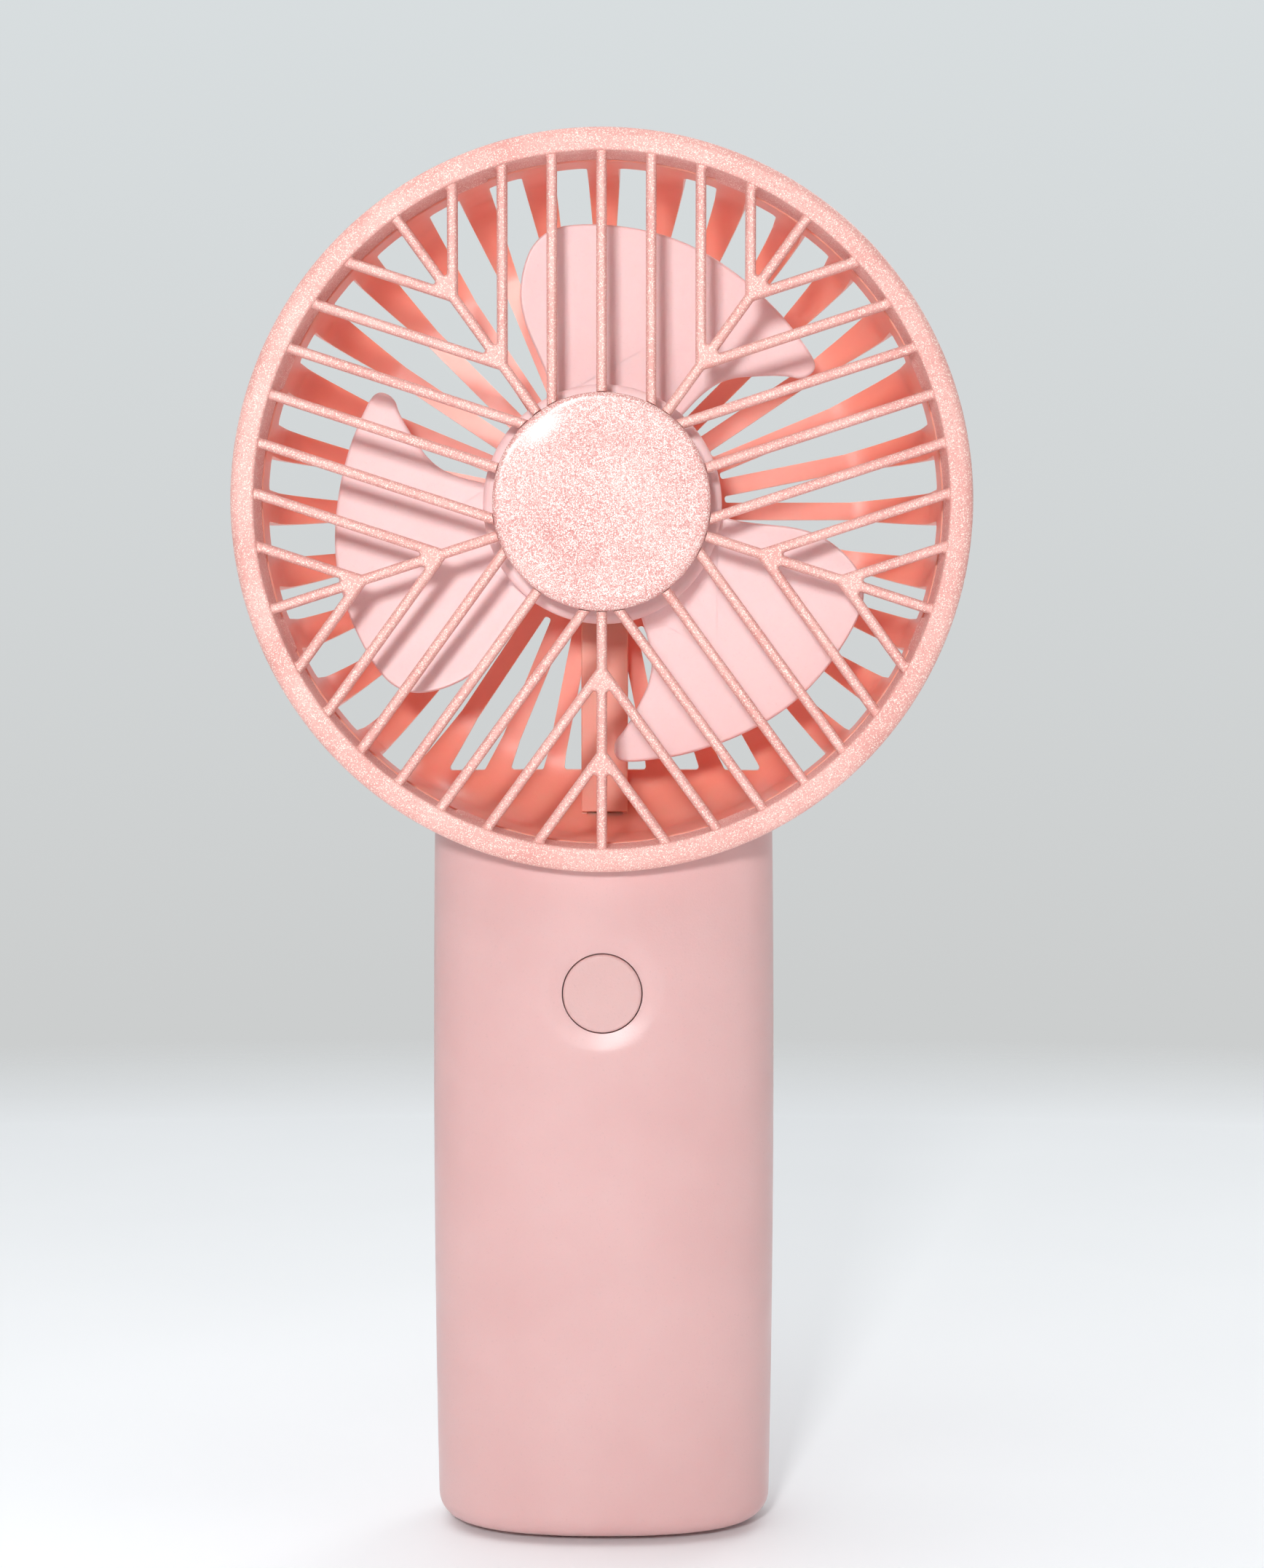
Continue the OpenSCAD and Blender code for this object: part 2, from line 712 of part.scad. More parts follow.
// A round lead swept along a route. No stretch of a route runs along X.
module lead(route) {
    path = smooth(route);
    n = len(path);
    points = [
        for (i = [0 : n - 1])
            let (along = unit(path[min(i + 1, n - 1)] - path[max(i - 1, 0)]),
                 side = unit(cross(along, [1, 0, 0])), up = cross(along, side))
            for (k = [0 : lead_sides - 1])
                let (a = 360 * k / lead_sides) path[i] + lead_r * (cos(a) * side + sin(a) * up)
    ];
    walls = [
        for (i = [0 : n - 2], k = [0 : lead_sides - 1])
            let (j = (k + 1) % lead_sides, m = i * lead_sides)
            [m + k, m + lead_sides + k, m + lead_sides + j, m + j]
    ];
    first = [for (k = [0 : lead_sides - 1]) k];
    last = [for (k = [lead_sides - 1 : -1 : 0]) (n - 1) * lead_sides + k];
    polyhedron(points, concat(walls, [first], [last]), convexity = 6);
}

module battery_lead_red() color("red")
    lead([[1.6, 1, 81.1], [1.6, -2.4, 81.3], [1.4, -4.9, 81], [1, -6.1, 78.8], [0.6, -6.25, 76],
          [0.5, -6.25, 73]]);

module battery_lead_black() color("#202020")
    lead([[-2, 1, 13.5], [-3, -2, 13.5], [-6, -4.6, 14.2], [-9, -5.4, 17], [-10.5, -5.4, 22],
          [-10.8, -5.4, 33], [-10.8, -5.4, 48], [-10.6, -5.4, 61], [-9, -5.9, 67.5],
          [-6, -6.25, 72], [-5, -6.25, 74.5]]);

module charge_leads() color("gold") for (shift = [0, 1.5])
    lead([[7.6 + shift, -3, 5.62], [7.8 + shift, -3.1, 8], [9 + shift, -3.8, 12],
          [10.6 + shift, -4.2, 20], [10.6 + shift, -4.2, 48], [10.3 + shift, -5.2, 61],
          [8.4 + shift, -6.1, 68], [6.8 + shift, -6.25, 72.5]]);

// The route of a motor lead on one side of the middle plane: from the board, over the cell's end,
// up behind the neck and along the channel to the motor.
function motor_route(side) = [
    [side * 3.8, -6.25, 76], [side * 4.1, -6.2, 78.3], [side * 4.4, -5.2, 80.6], [side * 4.5, -2, 81.05],
    [side * 4.5, 4, 81.05], [side * 4.5, 9, 81.05], [side * 4.4, 10.9, 82.4], [side * 4, 11.2, 85],
    [side * 2.4, 11.2, 91], [side * 1.2, 11.2, 97], [side, 11.3, 102], [side, 12, 108],
    [side, 12.4, 113], [side, 12.5, 121], [side * 1.4, 12.4, 131.7]
];

module motor_lead_red() color("red") lead(motor_route(1));
module motor_lead_black() color("#202020") lead(motor_route(-1));

front_grille();
grille_badge();
head_housing();
wire_cover();
impeller();
motor_shaft();
motor_armature();
motor_commutator();
motor_can();
motor_magnets();
motor_end_cap();
motor_brushes();
motor_terminals();
motor_front_bearing();
motor_rear_bearing();
handle_front();
handle_rear();
base_pad();
handle_screws();
button();
switch_body();
switch_plunger();
control_board();
control_chip();
board_capacitors();
board_screws();
charge_board();
usb_c_shell();
usb_c_tongue();
charge_chip();
charge_inductor();
charge_led();
light_pipe();
battery_cell();
battery_tabs();
battery_foam();
battery_lead_red();
battery_lead_black();
charge_leads();
motor_lead_red();
motor_lead_black();
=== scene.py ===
"""Looks of the handheld fan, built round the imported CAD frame.

The fan stands on the XY plane and faces -Y. Lengths are in millimetres unless a docstring says
otherwise, and mesh_object() turns them into the frame's metres. In the head, a point is given as
x, y across the fan's axis and h forwards along it.
"""

import json
import math

import bmesh
import bpy
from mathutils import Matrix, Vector


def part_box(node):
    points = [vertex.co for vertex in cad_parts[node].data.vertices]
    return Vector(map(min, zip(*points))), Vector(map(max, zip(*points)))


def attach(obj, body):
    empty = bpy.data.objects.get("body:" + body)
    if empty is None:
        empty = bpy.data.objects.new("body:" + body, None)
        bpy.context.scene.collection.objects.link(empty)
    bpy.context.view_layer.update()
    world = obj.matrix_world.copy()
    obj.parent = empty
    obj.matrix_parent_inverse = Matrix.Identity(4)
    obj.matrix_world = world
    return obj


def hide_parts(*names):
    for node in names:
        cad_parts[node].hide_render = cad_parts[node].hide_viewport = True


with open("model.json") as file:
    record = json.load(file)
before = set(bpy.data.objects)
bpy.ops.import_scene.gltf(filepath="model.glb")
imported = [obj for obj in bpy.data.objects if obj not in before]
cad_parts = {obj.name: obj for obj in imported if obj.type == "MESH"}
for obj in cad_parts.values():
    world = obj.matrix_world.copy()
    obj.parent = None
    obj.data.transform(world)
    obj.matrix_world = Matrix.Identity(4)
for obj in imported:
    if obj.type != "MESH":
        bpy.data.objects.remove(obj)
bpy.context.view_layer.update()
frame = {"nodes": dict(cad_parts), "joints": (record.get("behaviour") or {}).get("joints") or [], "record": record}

MM = 0.001


# ---- Sizes, mostly read from the frame ----

def low(node):
    """Lowest corner of a CAD node, in millimetres."""
    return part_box(node)[0] / MM


def high(node):
    """Highest corner of a CAD node, in millimetres."""
    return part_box(node)[1] / MM


def joint(name):
    """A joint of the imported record."""
    return next(j for j in frame["joints"] if j["name"] == name)


AXIS_Z = joint("fan_spin")["pos_m"][2] / MM
RING_R = high("front_grille").x
RING_FRONT = -low("front_grille").y
RING_BACK = -high("front_grille").y
RING_IN_R = RING_R - 3.2
BAR_FRONT = RING_FRONT - 0.6
BAR_BACK = BAR_FRONT - 2.4
BAR_W = 1.4
BAR_PITCH = 6.67
SECTORS = 5
BADGE_R = high("grille_badge").x
PLATE_R = BADGE_R - 0.2
PLATE_FRONT = RING_FRONT - 1.6
PLATE_BACK = PLATE_FRONT - 1.8
PEG_R = 1.95
BOWL_R = RING_R - 1.7
BOWL_IN_R = BOWL_R - 2
BOWL_BACK = -high("head_housing").y
BOWL_CORNER_R = 12.8
BOWL_FLAT_R = BOWL_R - BOWL_CORNER_R
BOWL_FLOOR = BOWL_BACK + 2
BOWL_FRONT = RING_FRONT - 7
LIP_FRONT = RING_FRONT - 2.7
LIP_R = BOWL_R - 1.1
HUB_R = 16.4
HUB_FRONT = -low("impeller").y
HUB_BACK = -high("impeller").y
HANDLE_W = high("handle_front").x
HANDLE_D = -low("handle_front").y
HANDLE_BOTTOM = low("handle_front").z
HANDLE_TOP = 105.5
WALL = 1.8
BUTTON_R = 5.4
BUTTON_Z = (low("button").z + high("button").z) / 2
BUTTON_FRONT = -low("button").y
SCREW_R = 0.95
SCREW_HOLE_R = 1.35
GAP = 0.1


# ---- Outlines ----

def fillet(corners, steps=6):
    """Points of a closed outline whose corners (x, y, radius) are rounded."""
    points = []
    count = len(corners)
    for i, (x, y, radius) in enumerate(corners):
        corner = Vector((x, y))
        if radius == 0:
            points.append(corner)
            continue
        before = Vector(corners[i - 1][:2]) - corner
        after = Vector(corners[(i + 1) % count][:2]) - corner
        half = before.angle(after) / 2
        reach = min(radius / math.tan(half), 0.49 * before.length, 0.49 * after.length)
        middle = corner + (before.normalized() + after.normalized()).normalized() * (
            reach / math.cos(half)
        )
        start = corner + before.normalized() * reach - middle
        end = corner + after.normalized() * reach - middle
        turn = math.atan2(start.cross(end), start.dot(end))
        for k in range(steps + 1):
            a = turn * k / steps
            points.append(middle + Vector((
                start.x * math.cos(a) - start.y * math.sin(a),
                start.x * math.sin(a) + start.y * math.cos(a),
            )))
    return points


def circle(x, y, radius, steps):
    """A round outline."""
    turns = [2 * math.pi * k / steps for k in range(steps)]
    return [Vector((x + radius * math.cos(a), y + radius * math.sin(a))) for a in turns]


def clean(points, gap=1e-4):
    """The same closed outline without points that repeat."""
    kept = []
    for p in points:
        if not kept or (p - kept[-1]).length > gap:
            kept.append(p)
    if (kept[0] - kept[-1]).length < gap:
        kept.pop()
    return kept


def anticlockwise(points):
    """The outline in anticlockwise order."""
    area = sum(points[i - 1].cross(points[i]) for i in range(len(points)))
    return points if area > 0 else points[::-1]


def grow(points, amount):
    """An anticlockwise outline with every edge moved outwards by the same amount."""
    moved = []
    count = len(points)
    for i, p in enumerate(points):
        back = (p - points[i - 1]).normalized()
        on = (points[(i + 1) % count] - p).normalized()
        out = Vector((back.y + on.y, -back.x - on.x)).normalized()
        square = max(0.3, out.dot(Vector((back.y, -back.x))))
        moved.append(p + out * amount / square)
    return moved


def spun(points, degrees):
    """The outline turned about the origin."""
    c = math.cos(math.radians(degrees))
    s = math.sin(math.radians(degrees))
    return [Vector((p.x * c - p.y * s, p.x * s + p.y * c)) for p in points]


def clip_below(points, line_y):
    """The part of a convex outline above a horizontal line."""
    kept = []
    for i, p in enumerate(points):
        q = points[i - 1]
        if (p.y > line_y) != (q.y > line_y):
            kept.append(q + (p - q) * (line_y - q.y) / (p.y - q.y))
        if p.y > line_y:
            kept.append(p)
    return kept


# ---- Meshes ----

def in_head(x, y, h):
    """A point of the head as a point of the frame."""
    return (x, -h, AXIS_Z + y)


def upright(x, y, z):
    """A point that is given in the frame's own directions."""
    return (x, y, z)


def at_button(x, y, h):
    """A point given from the button's axis."""
    return (x, -h, BUTTON_Z + y)


def mesh_object(name, points, faces, place=upright):
    """A new object from points in millimetres."""
    mesh = bpy.data.meshes.new(name)
    mesh.from_pydata([Vector(place(*p)) * MM for p in points], [], faces)
    obj = bpy.data.objects.new(name, mesh)
    bpy.context.scene.collection.objects.link(obj)
    outwards(obj)
    return obj


def outwards(obj):
    """Turns the faces of a closed mesh outwards."""
    bm = bmesh.new()
    bm.from_mesh(obj.data)
    bmesh.ops.recalc_face_normals(bm, faces=bm.faces)
    bm.to_mesh(obj.data)
    bm.free()


def skin(name, rings, place=upright):
    """A closed solid through rings of points, with flat ends."""
    count = len(rings[0])
    faces = [tuple(range(count)), tuple(range((len(rings) - 1) * count, len(rings) * count))]
    for i in range(len(rings) - 1):
        for k in range(count):
            j = (k + 1) % count
            a = i * count
            b = a + count
            faces.append((a + k, b + k, b + j, a + j))
    return mesh_object(name, [p for ring in rings for p in ring], faces, place)


def stack(name, outline, levels, place=in_head):
    """A solid whose outline is grown by an amount at each level (h, amount)."""
    flat = anticlockwise(clean(outline))
    return skin(name, [[(p.x, p.y, h) for p in grow(flat, amount)] for h, amount in levels], place)


def lathe(name, profile, steps, place=in_head, surface=None):
    """A solid of revolution from a closed profile (radius, h). surface may move its points."""
    points = []
    rows = []
    for r, h in profile:
        if r < 1e-6:
            rows.append([len(points)] * steps)
            points.append((0, 0, h))
            continue
        rows.append(list(range(len(points), len(points) + steps)))
        for k in range(steps):
            a = 2 * math.pi * k / steps
            points.append((r * math.cos(a), r * math.sin(a), h))
    if surface:
        points = [surface(*p) for p in points]
    faces = []
    for i in range(len(rows)):
        inner = rows[i - 1]
        outer = rows[i]
        if inner[0] == inner[1] and outer[0] == outer[1]:
            continue
        for k in range(steps):
            j = (k + 1) % steps
            corners = [inner[k], outer[k], outer[j], inner[j]]
            faces.append(tuple(dict.fromkeys(corners)))
    return mesh_object(name, points, faces, place)


def block(name, lowest, highest, bevel=0, place=upright):
    """A box between two corners, with rounded edges."""
    corners = [(x, y, z) for x in (lowest[0], highest[0]) for y in (lowest[1], highest[1])
               for z in (lowest[2], highest[2])]
    faces = [(0, 1, 3, 2), (4, 6, 7, 5), (0, 4, 5, 1), (2, 3, 7, 6), (0, 2, 6, 4), (1, 5, 7, 3)]
    obj = mesh_object(name, corners, faces, place)
    if bevel:
        bm = bmesh.new()
        bm.from_mesh(obj.data)
        bmesh.ops.bevel(bm, geom=bm.edges[:], offset=bevel * MM, segments=3, profile=0.5,
                        affect="EDGES")
        bm.to_mesh(obj.data)
        bm.free()
    return obj


def joined(name, objects):
    """One object that holds several separate meshes."""
    bm = bmesh.new()
    for obj in objects:
        bm.from_mesh(obj.data)
        bpy.data.objects.remove(obj)
    mesh = bpy.data.meshes.new(name)
    bm.to_mesh(mesh)
    bm.free()
    whole = bpy.data.objects.new(name, mesh)
    bpy.context.scene.collection.objects.link(whole)
    return whole


def combine(obj, tool, how):
    """Boolean of two closed meshes, using up tool: how is UNION, DIFFERENCE or INTERSECT."""
    step = obj.modifiers.new("combine", "BOOLEAN")
    step.operation = how
    step.solver = "MANIFOLD"
    step.object = tool
    bpy.context.view_layer.update()
    graph = bpy.context.evaluated_depsgraph_get()
    result = bpy.data.meshes.new_from_object(obj.evaluated_get(graph))
    obj.modifiers.clear()
    obj.data = result
    bpy.data.objects.remove(tool)
    return obj


def cut(obj, *tools):
    """obj without the tools."""
    for tool in tools:
        combine(obj, tool, "DIFFERENCE")
    return obj


def add(obj, *tools):
    """obj with the tools as one solid."""
    for tool in tools:
        combine(obj, tool, "UNION")
    return obj


# ---- Front grille ----

CORNER_R = 0.3
# How far an opening widens at heights above the bars' back.
FLARE = [(-0.5, 0.2), (0, 0.2), (0.12, 0.08), (0.35, 0), (1.5, 0), (1.88, 0.05), (2.14, 0.15),
         (2.3, 0.28), (2.38, 0.39), (2.42, 0.44), (2.9, 0.44)]


def window_outlines():
    """Outlines of the openings between the bars on one side of a sector, along +X."""
    half = math.radians(180 / SECTORS)
    edge = BAR_W / 2
    bars = int(RING_IN_R * math.sin(half) / BAR_PITCH - 0.5)

    def spine_x(y):
        """Where a line at y meets the near edge of the sector's spine."""
        return (edge + math.cos(half) * y) / math.sin(half)

    def on_circle(radius, y):
        return Vector((math.sqrt(radius * radius - y * y), y))

    def spine_at(radius):
        """Where the spine's near edge crosses a circle."""
        along = math.sqrt(radius * radius - edge * edge)
        return Vector((along * math.cos(half) + edge * math.sin(half),
                       along * math.sin(half) - edge * math.cos(half)))

    outlines = []
    for k in range(bars + 1):
        y0 = k * BAR_PITCH + edge
        y1 = (k + 1) * BAR_PITCH - edge
        start = [Vector((spine_x(y0), y0))]
        if spine_x(y0) < on_circle(PLATE_R, min(y0, PLATE_R)).x:
            start = [on_circle(PLATE_R, y0)]
        if k == bars:
            end = [spine_at(RING_IN_R)]
            middle = on_circle(RING_IN_R, (y0 + end[0].y) / 2)
        else:
            end = [on_circle(RING_IN_R, y1)]
            middle = on_circle(RING_IN_R, (y0 + y1) / 2)
            if y1 < PLATE_R and spine_x(y1) < on_circle(PLATE_R, y1).x:
                end.append(on_circle(PLATE_R, y1))
            else:
                end.append(Vector((spine_x(y1), y1)))
        corners = start + [on_circle(RING_IN_R, y0)]
        if start[0].length < PLATE_R + 0.01 < end[-1].length:
            end.append(spine_at(PLATE_R))
        outline = [(c.x, c.y, CORNER_R) for c in corners] + [(middle.x, middle.y, 0)]
        outline += [(c.x, c.y, CORNER_R) for c in end]
        outlines.append(outline)
    return outlines


def grille_windows():
    """Cutters for all the openings; their flare leaves the bars with rounded edges."""
    levels = [(BAR_BACK + h, amount) for h, amount in FLARE]
    cutters = []
    for outline in window_outlines():
        for side in (1, -1):
            mirrored = fillet([(x, side * y, r) for x, y, r in outline])
            for s in range(SECTORS):
                turned = spun(mirrored, 90 + s * 360 / SECTORS)
                cutters.append(stack("window", turned, levels))
    return joined("windows", cutters)


def snap_lug(degrees):
    """A wedge on the ring's inner lip."""
    a = math.radians(degrees)
    out = Vector((math.cos(a), math.sin(a)))
    side = Vector((-out.y, out.x))
    section = [(RING_IN_R + 0.05, BOWL_FRONT + 0.3), (RING_IN_R - 0.7, BOWL_FRONT + 0.45),
               (RING_IN_R - 0.65, BOWL_FRONT + 0.9), (RING_IN_R + 0.05, BOWL_FRONT + 3.6)]
    rings = []
    for across, tuck in ((-2.5, 0.25), (-2.2, 0), (2.2, 0), (2.5, 0.25)):
        places = [(out * (r + (tuck if r < RING_IN_R else 0)) + side * across, h)
                  for r, h in section]
        rings.append([(p.x, p.y, h) for p, h in places])
    return skin("lug", rings, in_head)


def make_front_grille():
    """Ring, bars and middle plate as one moulding, with the wedges that hold it in the bowl."""
    lip_r = LIP_R - GAP
    skirt_r = RING_R - 1.5
    skirt_h = RING_FRONT - 2.5
    ring_profile = fillet([
        (RING_IN_R, RING_FRONT, 0.4), (RING_R, RING_FRONT, 1.3), (RING_R, RING_BACK, 0.35),
        (skirt_r, RING_BACK, 0.2), (skirt_r, skirt_h, 0),
        (lip_r, skirt_h, 0), (lip_r, BOWL_FRONT + GAP, 0.1),
        (RING_IN_R - 0.3, BOWL_FRONT + GAP, 0.15),
    ], 5)
    plate = lathe("front_grille_piece", fillet([
        (PEG_R + GAP, PLATE_BACK, 0), (PLATE_R, PLATE_BACK, 0.2), (PLATE_R, BAR_BACK, 0),
        (RING_IN_R + 0.2, BAR_BACK, 0), (RING_IN_R + 0.2, BAR_FRONT, 0),
        (BADGE_R + GAP, BAR_FRONT, 0), (BADGE_R + GAP, PLATE_FRONT, 0),
        (PEG_R + GAP, PLATE_FRONT, 0),
    ], 3), 240)
    cut(plate, grille_windows())
    add(plate, lathe("ring", ring_profile, 240))
    lugs = [snap_lug((k + 0.5) * 45) for k in range(8)]
    return add(plate, joined("lugs", lugs))


def make_badge():
    """The centre disc: a shallow dish that dips towards its rim at the upper left."""
    dip_angle = math.radians(129)
    dip_r = BADGE_R + 0.5
    dip_reach = 2.7
    dip_length = 3.9
    dip_depth = 0.3
    edge_r = 0.6
    hollow = 0.2
    rows = 26
    flat_r = BADGE_R * 0.955

    def surface(x, y, h):
        """Lowers the points of the front in the dip."""
        if h < RING_FRONT - edge_r:
            return (x, y, h)
        r = math.hypot(x, y)
        aside = math.hypot(x - r * math.cos(dip_angle), y - r * math.sin(dip_angle))
        away = ((r - dip_r) / dip_reach) ** 2 + (aside / dip_length) ** 2
        return (x, y, h - dip_depth * math.exp(-away))

    profile = fillet([(0, RING_FRONT - hollow, 0), (BADGE_R, RING_FRONT, edge_r),
                      (BADGE_R, PLATE_FRONT, 0.1), (PEG_R, PLATE_FRONT, 0),
                      (PEG_R, PLATE_BACK + 0.2, 0.3), (0, PLATE_BACK + 0.2, 0)], 6)
    front = [Vector((flat_r * k / rows, RING_FRONT - hollow + hollow * (k / rows) ** 2))
             for k in range(rows)]
    return lathe("grille_badge_piece", front + profile[1:], 160, surface=surface)


# ---- Bowl of the head ----

RIBS = 32
RIB_W = 2.5
SLOT_START_R = 17.5
SLOT_RIM_W = 4.8
SLOT_FRONT = RING_FRONT - 13
SOLID_CHORD = 37.6
CUP_R = 14.2
CUP_BORE_R = 12.3
CUP_FRONT = -5
RAIL_X = 2.95
RAIL_W = 0.8
RAIL_TOP = -13.6
RAIL_FRONT = BOWL_FLOOR + 4.1
WIRE_HOLE_W = 4.8
NECK_LOW = low("head_housing").z - AXIS_Z
NECK_W = 11
NECK_D = 9
NECK_T = 1.6
EAR_END_X = 19.5
EAR_HALF = 4
EAR_T = 3
TOP_SCREW = (15.5, 89)


def slot_half_width(r):
    """Half the width of a rear opening at a radius."""
    pitch = 2 * math.pi / RIBS
    if r < BOWL_FLAT_R:
        return (r * pitch - RIB_W) / 2
    flat_w = (BOWL_FLAT_R * pitch - RIB_W) / 2
    return flat_w + (SLOT_RIM_W / 2 - flat_w) * (r - BOWL_FLAT_R) / (BOWL_R + 2 - BOWL_FLAT_R)


def slot_outline(k, start_r, corner_r):
    """Outline of one opening between the rear ribs, from a radius outwards."""
    radii = [r for r in (start_r, BOWL_FLAT_R, BOWL_R + 2) if r >= start_r]
    corners = [Vector((r, -slot_half_width(r))) for r in radii]
    corners += [Vector((r, slot_half_width(r))) for r in reversed(radii)]
    corners = clip_below(spun(corners, (k + 0.5) * 360 / RIBS), -SOLID_CHORD)
    if len(corners) < 3 or max(c.length for c in corners) < start_r + 1:
        return None
    return fillet([(c.x, c.y, corner_r) for c in anticlockwise(clean(corners))], 4)


def rear_slots(start_r, corner_r, levels):
    """Cutters for all the openings of the rear grille."""
    outlines = [slot_outline(k, start_r, corner_r) for k in range(RIBS)]
    return joined("slots", [stack("slot", o, levels) for o in outlines if o])


def bowl_profile(inset):
    """Profile of the bowl's outer form, drawn in by an amount."""
    back = BOWL_BACK + inset
    side = BOWL_R - inset
    return fillet([(0, back, 0), (side, back, BOWL_CORNER_R - inset), (side, LIP_FRONT, 0),
                   (0, LIP_FRONT, 0)], 14)


def make_ear(side):
    """The lug at one side of the neck that an upper screw passes through."""
    low_x, high_x = sorted((side * (NECK_W - 0.5), side * EAR_END_X))
    y = TOP_SCREW[1] - AXIS_Z
    ear = block("ear", (low_x, y - EAR_HALF, -EAR_T / 2), (high_x, y + EAR_HALF, EAR_T / 2), 0.4,
                in_head)
    outline = circle(side * TOP_SCREW[0], y, SCREW_HOLE_R, 24)
    return cut(ear, stack("hole", outline, [(-EAR_T, 0), (EAR_T, 0)]))


def make_head_housing():
    """The bowl with its rear grille and motor cup, the rails of the wire channel and the neck."""
    outer = fillet([(0, BOWL_BACK, 0), (BOWL_R, BOWL_BACK, BOWL_CORNER_R),
                    (BOWL_R, LIP_FRONT, 0.2), (LIP_R, LIP_FRONT, 0.2), (LIP_R, BOWL_FRONT, 0),
                    (BOWL_IN_R, BOWL_FRONT, 0.25),
                    (BOWL_IN_R, BOWL_FLOOR, BOWL_CORNER_R - 2), (0, BOWL_FLOOR, 0)], 14)
    bowl = lathe("head_housing_piece", outer, 256)
    floor_levels = [(BOWL_BACK - 1, 0), (-1, 0)]
    side_levels = [(-4, 0), (SLOT_FRONT - 0.9, 0), (SLOT_FRONT - 0.55, -0.07),
                   (SLOT_FRONT - 0.26, -0.27), (SLOT_FRONT - 0.07, -0.56), (SLOT_FRONT, -0.9)]
    cut(bowl, rear_slots(SLOT_START_R, 0.4, floor_levels))
    cut(bowl, rear_slots(BOWL_FLAT_R + 3, 0.2, side_levels))
    cup = lathe("cup", fillet([
        (CUP_BORE_R, BOWL_FLOOR - 0.5, 0), (CUP_R, BOWL_FLOOR - 0.5, 0),
        (CUP_R, CUP_FRONT, 0.3), (CUP_BORE_R, CUP_FRONT, 0.3),
    ], 3), 96)
    rails = joined("rails", [
        block("rail", (side * RAIL_X - RAIL_W / 2, -BOWL_R, BOWL_FLOOR - 0.5),
              (side * RAIL_X + RAIL_W / 2, RAIL_TOP, RAIL_FRONT), 0.12, in_head)
        for side in (-1, 1)])
    combine(rails, lathe("trim", bowl_profile(1), 128), "INTERSECT")
    neck = block("neck", (-NECK_W, NECK_LOW, -NECK_D), (NECK_W, -BOWL_IN_R - 0.7, NECK_D), 0.8,
                 in_head)
    room_w = NECK_W - NECK_T
    room_d = NECK_D - NECK_T
    cut(neck, block("room", (-room_w, NECK_LOW - 1, -room_d), (room_w, -BOWL_R - 0.2, room_d), 0.5,
                    in_head))
    add(neck, make_ear(-1), make_ear(1))
    add(bowl, cup, rails, neck)
    half = WIRE_HOLE_W / 2
    lead_way = block("lead_way", (-half, -CUP_R - 1, BOWL_FLOOR),
                     (half, 1 - CUP_BORE_R, CUP_FRONT + 1), 0, in_head)
    lead_hole = block("lead_hole", (-half, -BOWL_R - 1, BOWL_FLOOR + 0.7),
                      (half, -BOWL_FLAT_R, RAIL_FRONT - 0.4), 0.5, in_head)
    return cut(bowl, lead_way, lead_hole)


def make_wire_cover():
    """The flat cover over the wire channel, with two legs that grip between the rails."""
    lowest = low("wire_cover")
    highest = high("wire_cover")
    back = RAIL_FRONT + 0.02
    top = highest.z - AXIS_Z
    leg_half = 0.3
    cover = block("wire_cover_piece", (lowest.x, lowest.z - AXIS_Z, back),
                  (highest.x, top, -lowest.y), 0.2, in_head)
    for side in (-1, 1):
        x = side * (RAIL_X - RAIL_W / 2 - 0.4)
        add(cover, block("leg", (x - leg_half, -BOWL_FLAT_R, back - 1),
                         (x + leg_half, top - 1.4, back + 0.1), 0, in_head))
    return cover


# ---- Impeller ----

BLADES = 3
BLADE_T = 1.5
BLADE_PITCH = 12
BLADE_MID_H = 5.6
BLADE_MID_ANGLE = 74
BLADE_CAMBER = 0.9
# The first blade's edge from the hub round to the hub again, as (degrees from +X, radius).
BLADE_OUTLINE = [(49, 15.8), (48.5, 21.5), (45.5, 25), (40, 28.3), (35.6, 31.4), (32.4, 33),
                 (32.6, 35.5), (36.5, 36.2), (51, 37), (68, 38.2), (82, 38.7), (97, 38.9),
                 (104, 37.6), (109, 34), (113.5, 28.7), (113, 19.5), (115, 15.8)]


def softened(points, rounds=3):
    """An open line with its corners cut again and again, which leaves a smooth curve."""
    for _ in range(rounds):
        cut_line = [points[0]]
        for p, q in zip(points, points[1:]):
            cut_line += [p.lerp(q, 0.25), p.lerp(q, 0.75)]
        points = cut_line + [points[-1]]
    return points


def blade_height(p):
    """Height of the blade's middle surface at a point: pitched, and a little hollow in front."""
    a = math.radians(BLADE_MID_ANGLE)
    across = -p.x * math.sin(a) + p.y * math.cos(a)
    slope = math.tan(math.radians(BLADE_PITCH))
    return BLADE_MID_H + across * slope + BLADE_CAMBER * ((across / 20) ** 2 - 0.4)


